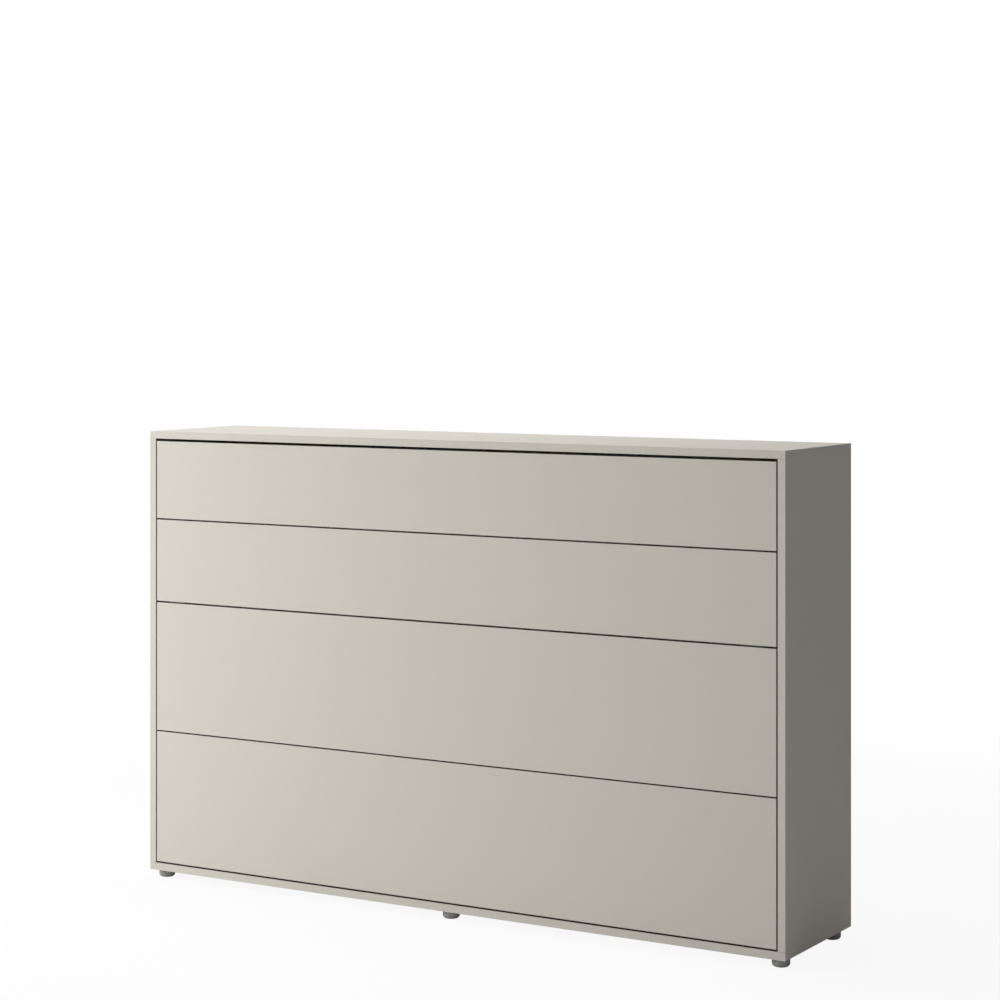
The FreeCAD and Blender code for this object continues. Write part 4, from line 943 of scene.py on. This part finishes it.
def mattress_blank(low, high, cells_long, cell_steps=8, border_rows=9):
    """The cover before it swells: flat quilted faces, a border between them, and its seams marked."""
    span_x, span_z = high.x - low.x, high.z - low.z
    quilt = span_x / cells_long
    count_x = cells_long * cell_steps
    count_z = round(span_z / quilt) * cell_steps
    middle = (low + high) / 2
    straight_x, straight_z = span_x / 2 - CORNER, span_z / 2 - CORNER
    form = bmesh.new()
    share_layer = form.verts.layers.float.new("border_share")

    def grid_place(column, row, y):
        """A grid point of a face, with the rectangle's corners pulled in to arcs."""
        x = middle.x - span_x / 2 + span_x * column / count_x
        z = middle.z - span_z / 2 + span_z * row / count_z
        over_x, over_z = abs(x - middle.x) - straight_x, abs(z - middle.z) - straight_z
        if over_x > 0 and over_z > 0:
            scale = max(over_x, over_z) / math.hypot(over_x, over_z)
            x = middle.x + math.copysign(straight_x + over_x * scale, x - middle.x)
            z = middle.z + math.copysign(straight_z + over_z * scale, z - middle.z)
        return x, y, z

    def rim(grid):
        """The points round a grid, in order."""
        right = [line[-1] for line in grid[1:]]
        left = [line[0] for line in grid[-2:0:-1]]
        return grid[0] + right + grid[-1][-2::-1] + left

    grids = []
    for y in (high.y, low.y):
        grid = []
        for row in range(count_z + 1):
            grid.append([form.verts.new(grid_place(column, row, y)) for column in range(count_x + 1)])
        for near, far in zip(grid, grid[1:]):
            for column in range(count_x):
                form.faces.new([near[column], near[column + 1], far[column + 1], far[column]])
        grids.append(grid)
    top, bottom = rim(grids[0]), rim(grids[1])
    bands = [bottom]
    for row in range(1, border_rows):
        share = row / border_rows
        band = [form.verts.new(lower.co.lerp(upper.co, share)) for lower, upper in zip(bottom, top)]
        for vertex in band:
            vertex[share_layer] = 1.0
        bands.append(band)
    skin(form, bands + [top])
    # The seams round the faces are drawn in, as a filled cover's are.
    for lower, upper in zip(bottom, top):
        lower.co.y += SEAM_DEPTH
        upper.co.y -= SEAM_DEPTH
    form.verts.index_update()
    pinned = []
    for grid in grids:
        for row, line in enumerate(grid):
            on_seam = line if row % cell_steps == 0 else line[::cell_steps]
            pinned += [vertex.index for vertex in on_seam]
    return mesh_from(form, "mattress_cover", 180), pinned, quilt


def places_of(mesh):
    """A mesh's points as the rows of an array."""
    places = np.empty(len(mesh.vertices) * 3)
    mesh.vertices.foreach_get("co", places)
    return places.reshape(-1, 3)


def swell(item, pinned, cap, frames=20):
    """Fills the cover with a short cloth simulation, its seams held, and caps how far it goes."""
    start = places_of(item.data)
    held = item.vertex_groups.new(name="seams")
    held.add(pinned, 1.0, "REPLACE")
    cloth = item.modifiers.new("filling", "CLOTH")
    fabric = {
        "quality": 4,
        "mass": 0.3,
        "tension_stiffness": 9,
        "compression_stiffness": 9,
        "shear_stiffness": 5,
        "bending_stiffness": 0.5,
        "shrink_min": -0.03,
        "use_pressure": True,
        "uniform_pressure_force": 4.0,
        "vertex_group_mass": "seams",
    }
    for key, value in fabric.items():
        setattr(cloth.settings, key, value)
    cloth.settings.effector_weights.gravity = 0.0
    cloth.collision_settings.use_collision = False
    cloth.point_cache.frame_start = 1
    cloth.point_cache.frame_end = frames
    scene = bpy.context.scene
    for number in range(1, frames + 1):
        scene.frame_set(number)
    move = places_of(item.evaluated_get(bpy.context.evaluated_depsgraph_get()).data) - start
    item.modifiers.remove(cloth)
    item.vertex_groups.remove(held)
    scene.frame_set(1)
    distance = np.linalg.norm(move, axis=1, keepdims=True)
    return start + move * np.minimum(1.0, cap / np.maximum(distance, 1e-9))


def build_mattress(settings):
    """The padded mattress: quilted, crowned, with a border and piping."""
    low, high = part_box("mattress")
    inset = Vector((0.009, 0.0085, 0.009))
    blank_low, blank_high = low + inset, high - inset
    middle = (blank_low + blank_high) / 2
    mesh, pinned, quilt = mattress_blank(blank_low, blank_high, settings.quilt_cells)
    finish = mattress_cover(settings, middle, quilt)
    item = add_piece("mattress_cover", mesh, "bed", "ticking", finish, ["mattress"])
    filled = swell(item, pinned, settings.puff)
    share = (filled - np.array(middle)) / np.array((blank_high - blank_low) / 2)
    # The whole sleeping face crowns a little towards its middle.
    crown = 0.0008
    lie = np.clip(share[:, 1], 0.0, 1.0) ** 4
    filled[:, 1] += crown * lie * (1 - share[:, 0] ** 4) * (1 - share[:, 2] ** 4)
    # Under the straps the filling is pressed flat.
    strap_room, press_fade = 0.0035, 0.045
    for points in solids_of("mattress_straps"):
        left, right = points[:, 0].min(), points[:, 0].max()
        away = np.abs(filled[:, 0] - (left + right) / 2) - (right - left) / 2
        ceiling = points[:, 1].max() - STRAP_THICKNESS - strap_room
        over = np.maximum(0.0, filled[:, 1] - ceiling)
        filled[:, 1] -= over * (1 - smooth_share(away / press_fade))
    # The underside rests flat on the slats, and the sides hardly leave the mattress's own space.
    rest, proud = 0.0004, 0.003
    filled[:, 1] = np.maximum(filled[:, 1], low.y + rest)
    filled[:, 0] = np.clip(filled[:, 0], low.x - proud, high.x + proud)
    filled[:, 2] = np.clip(filled[:, 2], low.z - proud, high.z + proud)
    mesh.vertices.foreach_set("co", filled.reshape(-1))
    mesh.update()
    modify(item, "finer", "SUBSURF", levels=1, render_levels=1)
    build_piping(settings, blank_low, blank_high)


def build_piping(settings, low, high, sides=8):
    """Piping in the two seams between the mattress's faces and its border."""
    form = bmesh.new()
    proud, corner, spacing = 0.0012, CORNER + 0.0005, 0.02
    loop = loop_points((high.x - low.x) / 2 + proud, low.z - proud, high.z + proud, corner, spacing)
    for y in (low.y + SEAM_DEPTH, high.y - SEAM_DEPTH):
        rings = []
        for place, out in loop:
            ring = []
            for side in range(sides):
                reach, rise, _ = on_circle(settings.piping, 2 * math.pi * side / sides, 0)
                x, z = place + out * reach
                ring.append(form.verts.new((x, y + rise, z)))
            rings.append(ring)
        skin(form, rings + rings[:1])
    mesh = mesh_from(form, "mattress_piping", 80)
    add_piece("mattress_piping", mesh, "bed", "ticking", piping_cloth(settings))


def strap_path(points):
    """The middle line of a strap, seen along the cabinet, as (y, z), with rounded corners."""
    low, high = points.min(0), points.max(0)
    half = STRAP_THICKNESS / 2
    front, back = low[1], high[1] - half
    bottom, top = low[2] + half, high[2] - half
    bend, bend_steps, long_steps = 0.014, 6, 60
    # Places on the strap's straight ends, which lie on the long boards and then beside the mattress.
    straight = [front + run for run in (0.0, 0.02, 0.04, 0.081)]

    def turned(first, z):
        angles = [math.radians(first + 90 * step / bend_steps) for step in range(bend_steps + 1)]
        return [(back - bend + bend * math.cos(angle), z + bend * math.sin(angle)) for angle in angles]

    path = [(y, bottom) for y in straight] + turned(-90, bottom + bend)
    run = top - bottom - 2 * bend
    path += [(back, bottom + bend + run * step / long_steps) for step in range(1, long_steps)]
    return path + turned(0, top - bend) + [(y, top) for y in reversed(straight)]


def build_straps():
    """The two webbing straps that hold the mattress, as flat bands with thick edges."""
    form = bmesh.new()
    across_layer = form.verts.layers.float.new("strap_across")
    along_layer = form.verts.layers.float.new("strap_along")
    # Places from the band's middle to its edge, as shares of its half width, with the thickness there.
    half_section = [(0.0, 0.86), (0.5, 0.86), (0.86, 1.0), (0.97, 1.0), (1.0, 0.35)]
    section = [(-share, fill) for share, fill in half_section[:0:-1]] + half_section
    around = section + [(share, -fill) for share, fill in reversed(section)]
    for points in solids_of("mattress_straps"):
        left, right = points[:, 0].min(), points[:, 0].max()
        path = [Vector((0, y, z)) for y, z in strap_path(points)]
        travelled = 0.0
        rings = []
        for index, spot in enumerate(path):
            before, after = path[max(0, index - 1)], path[min(len(path) - 1, index + 1)]
            forward = (after - before).normalized()
            out = Vector((0, forward.z, -forward.y))
            travelled += (spot - before).length
            ring = []
            for share, fill in around:
                place = spot + out * (fill * STRAP_THICKNESS / 2)
                across = share * (right - left) / 2
                vertex = form.verts.new(((left + right) / 2 + across, place.y, place.z))
                vertex[across_layer] = across
                vertex[along_layer] = travelled
                ring.append(vertex)
            rings.append(ring)
        skin(form, rings, capped=True)
    stand_in(form, "mattress_straps", "woven", 60)


# ---------------------------------------------------------------- stage

LAMPS = {
    # name: (place, what it points at, width, height, power)
    "left_softbox": ((-5.5, -3.0, 2.2), (-0.2, -0.1, 0.7), 2.4, 2.4, 325.0),
    "front_softbox": ((1.0, -6.5, 2.0), (0.0, -0.1, 0.7), 3.0, 2.4, 48.0),
    "overhead_softbox": ((-0.6, 0.4, 4.2), (-0.3, 0.0, 1.3), 2.6, 2.0, 60.5),
    "overhead_left_softbox": ((-2.4, 0.2, 3.6), (-0.9, 0.0, 1.3), 1.8, 1.8, 22.0),
}
FLOOR_REACH, FLOOR_DROP = 9.0, 0.0005
WHITE = (1.0, 1.0, 1.0)


def build_floor(settings):
    """A plain pale floor that keeps a soft shadow."""
    mesh = bpy.data.meshes.new("studio_floor")
    sides = ((-1, -1), (1, -1), (1, 1), (-1, 1))
    mesh.from_pydata([(x * FLOOR_REACH, y * FLOOR_REACH, -FLOOR_DROP) for x, y in sides], [], [(0, 1, 2, 3)])
    recipe = Recipe("studio_floor")
    colour = recipe.tones(recipe.noise(2.0, 2.0), settings.floor, 0.985, 1.01)
    matt = recipe.node("ShaderNodeBsdfDiffuse", {"Color": colour})
    white = recipe.node("ShaderNodeEmission", {"Color": WHITE, "Strength": 1.0})
    seen = recipe.node("ShaderNodeLightPath", None, "Is Camera Ray")
    # The floor keeps its shadows near the object and fades into the white further out.
    x, y, _ = recipe.axes()
    away = (x * x + y * y).root()
    whiteness = seen * (0.92 + 0.08 * away.fade(1.8, 3.8))
    surface = recipe.node("ShaderNodeMixShader", {0: whiteness, 1: matt, 2: white})
    # From below the floor is clear, so that the underside shows.
    below = recipe.node("ShaderNodeNewGeometry", None, "Backfacing")
    clear = recipe.node("ShaderNodeBsdfTransparent")
    surface = recipe.node("ShaderNodeMixShader", {0: below * seen, 1: surface, 2: clear})
    recipe.node("ShaderNodeOutputMaterial", {"Surface": surface})
    mesh.materials.append(recipe.material)
    item = put("studio_floor", mesh)


def light_world(settings):
    """Even light from all round, which the camera and shiny pieces see as white."""
    world = bpy.data.worlds.new("studio")
    bpy.context.scene.world = world
    world.use_nodes = True
    graph = Graph(world.node_tree)
    rays = ("Is Camera Ray", "Is Glossy Ray", "Is Transmission Ray")
    camera, glossy, transmission = graph.node("ShaderNodeLightPath", None, rays)
    seen = camera.at_least(glossy.at_least(transmission))
    strength = graph.node("ShaderNodeMapRange", {"Value": seen, "To Min": settings.ambient, "To Max": 1.0})
    background = graph.node("ShaderNodeBackground", {"Color": WHITE, "Strength": strength})
    graph.node("ShaderNodeOutputWorld", {"Surface": background})


def hang_lamp(name, place, target, width, height, power):
    lamp = bpy.data.lights.new(name, "AREA")
    lamp.shape = "RECTANGLE"
    lamp.size = width
    lamp.size_y = height
    lamp.energy = power
    item = put(name, lamp)
    item.location = place
    item.rotation_mode = "QUATERNION"
    item.rotation_quaternion = (Vector(target) - Vector(place)).to_track_quat("-Z", "Y")


def set_camera(settings):
    data = bpy.data.cameras.new("camera")
    data.sensor_width = 36.0
    data.lens = settings.lens
    data.shift_y = settings.shift
    data.clip_start = 0.05
    data.clip_end = 100.0
    item = put("camera", data)
    item.location = settings.camera_place
    item.rotation_euler = (math.pi / 2, 0.0, settings.camera_turn)
    bpy.context.scene.camera = item


# ---------------------------------------------------------------- operators


def nodes_in(*slots):
    return [node for node, slot in SLOT_OF.items() if slot in slots]


SCREWS = {
    "carcass_screws": "cross",
    "pivot_plate_screws": "cross",
    "bed_screws": "cross",
    "frame_bolts": "hexagon",
}
WOOD = ["slats", "carcass_dowels"]
WOOD_ROUND = 0.0012
BRIGHT = [node for node in nodes_in("bright_steel", "zinc_steel") if node not in (*SCREWS, "cam_fittings")]


class CABINETBED_OT_laminated_boards(bpy.types.Operator):
    """Finish the cabinet's boards and the front panels"""

    bl_idname = "cabinet_bed.laminated_boards"
    bl_label = "Laminated boards"

    def execute(self, context):
        return dress_all(nodes_in("laminate"), context.scene.board_settings.edge_round)


class CABINETBED_OT_inner_boards(bpy.types.Operator):
    """Finish the back rails, the back sheets and the boards round the mattress"""

    bl_idname = "cabinet_bed.inner_boards"
    bl_label = "Inner boards"

    def execute(self, context):
        edge_round = context.scene.board_settings.edge_round * 0.6
        return dress_all(nodes_in("inner_board", "back_sheet"), edge_round)


class CABINETBED_OT_slats(bpy.types.Operator):
    """Finish the slats and the dowels"""

    bl_idname = "cabinet_bed.slats"
    bl_label = "Slats and dowels"

    def execute(self, context):
        return dress_all(WOOD, WOOD_ROUND)


class CABINETBED_OT_coated_steel(bpy.types.Operator):
    """Finish the bed frame, the plates, the brackets and the struts' cylinders"""

    bl_idname = "cabinet_bed.coated_steel"
    bl_label = "Coated steel"

    def execute(self, context):
        return dress_all(nodes_in("powder_coat"), context.scene.fitting_settings.edge_round)


class CABINETBED_OT_moulded_parts(bpy.types.Operator):
    """Finish the caps, bushes, guides, glides and buffers"""

    bl_idname = "cabinet_bed.moulded_parts"
    bl_label = "Moulded parts"

    def execute(self, context):
        return dress_all(nodes_in("nylon", "buffer_rubber"), context.scene.fitting_settings.edge_round)


class CABINETBED_OT_bright_steel(bpy.types.Operator):
    """Finish the pins, studs, rods, hinges and stays"""

    bl_idname = "cabinet_bed.bright_steel"
    bl_label = "Bright steel"

    def execute(self, context):
        return dress_all(BRIGHT, context.scene.fitting_settings.edge_round * 0.5)


class CABINETBED_OT_fasteners(bpy.types.Operator):
    """Build the screws, the bolts and the corner fittings"""

    bl_idname = "cabinet_bed.fasteners"
    bl_label = "Fasteners"

    def execute(self, context):
        for node, socket in SCREWS.items():
            build_fasteners(node, socket)
        build_cam_fittings()
        return {"FINISHED"}


class CABINETBED_OT_feet(bpy.types.Operator):
    """Build the six levelling feet"""

    bl_idname = "cabinet_bed.feet"
    bl_label = "Levelling feet"

    def execute(self, context):
        for node in nodes_in("foot_plastic"):
            build_foot(node, context.scene.fitting_settings.thread_pitch)
        return {"FINISHED"}


class CABINETBED_OT_mattress(bpy.types.Operator):
    """Build the quilted mattress and its piping"""

    bl_idname = "cabinet_bed.mattress"
    bl_label = "Mattress"

    def execute(self, context):
        build_mattress(context.scene.bedding_settings)
        return {"FINISHED"}


class CABINETBED_OT_straps(bpy.types.Operator):
    """Build the straps that hold the mattress"""

    bl_idname = "cabinet_bed.straps"
    bl_label = "Straps"

    def execute(self, context):
        build_straps()
        return {"FINISHED"}


class CABINETBED_OT_stage(bpy.types.Operator):
    """Lay the floor, hang the lamps and set the camera"""

    bl_idname = "cabinet_bed.stage"
    bl_label = "Stage"

    def execute(self, context):
        settings = context.scene.studio_settings
        context.scene.view_settings.view_transform = "Standard"
        set_camera(settings)
        build_floor(settings)
        light_world(settings)
        for name, lamp in LAMPS.items():
            hang_lamp(name, *lamp)
        return {"FINISHED"}


STEPS = (
    CABINETBED_OT_stage,
    CABINETBED_OT_laminated_boards,
    CABINETBED_OT_inner_boards,
    CABINETBED_OT_slats,
    CABINETBED_OT_coated_steel,
    CABINETBED_OT_moulded_parts,
    CABINETBED_OT_bright_steel,
    CABINETBED_OT_fasteners,
    CABINETBED_OT_feet,
    CABINETBED_OT_mattress,
    CABINETBED_OT_straps,
)


class CABINETBED_PT_steps(bpy.types.Panel):
    """The cabinet bed's pieces and settings"""

    bl_label = "Cabinet bed"
    bl_idname = "CABINETBED_PT_steps"
    bl_space_type = "VIEW_3D"
    bl_region_type = "UI"
    bl_category = "Cabinet bed"

    def draw(self, context):
        for step in STEPS:
            self.layout.operator(step.bl_idname)
        for key in SETTINGS:
            settings = getattr(context.scene, key)
            box = self.layout.box()
            for name in settings.__annotations__:
                box.prop(settings, name)


SETTINGS = {
    "board_settings": BoardSettings,
    "bedding_settings": BeddingSettings,
    "fitting_settings": FittingSettings,
    "studio_settings": StudioSettings,
}


def register():
    for key, settings in SETTINGS.items():
        bpy.utils.register_class(settings)
        setattr(bpy.types.Scene, key, bpy.props.PointerProperty(type=settings))
    for step in STEPS:
        bpy.utils.register_class(step)
    bpy.utils.register_class(CABINETBED_PT_steps)


def unregister():
    bpy.utils.unregister_class(CABINETBED_PT_steps)
    for step in reversed(STEPS):
        bpy.utils.unregister_class(step)
    for key, settings in SETTINGS.items():
        delattr(bpy.types.Scene, key)
        bpy.utils.unregister_class(settings)


def main():
    register()
    for step in STEPS:
        group, name = step.bl_idname.split(".")
        getattr(getattr(bpy.ops, group), name)()


if __name__ == "__main__":
    main()
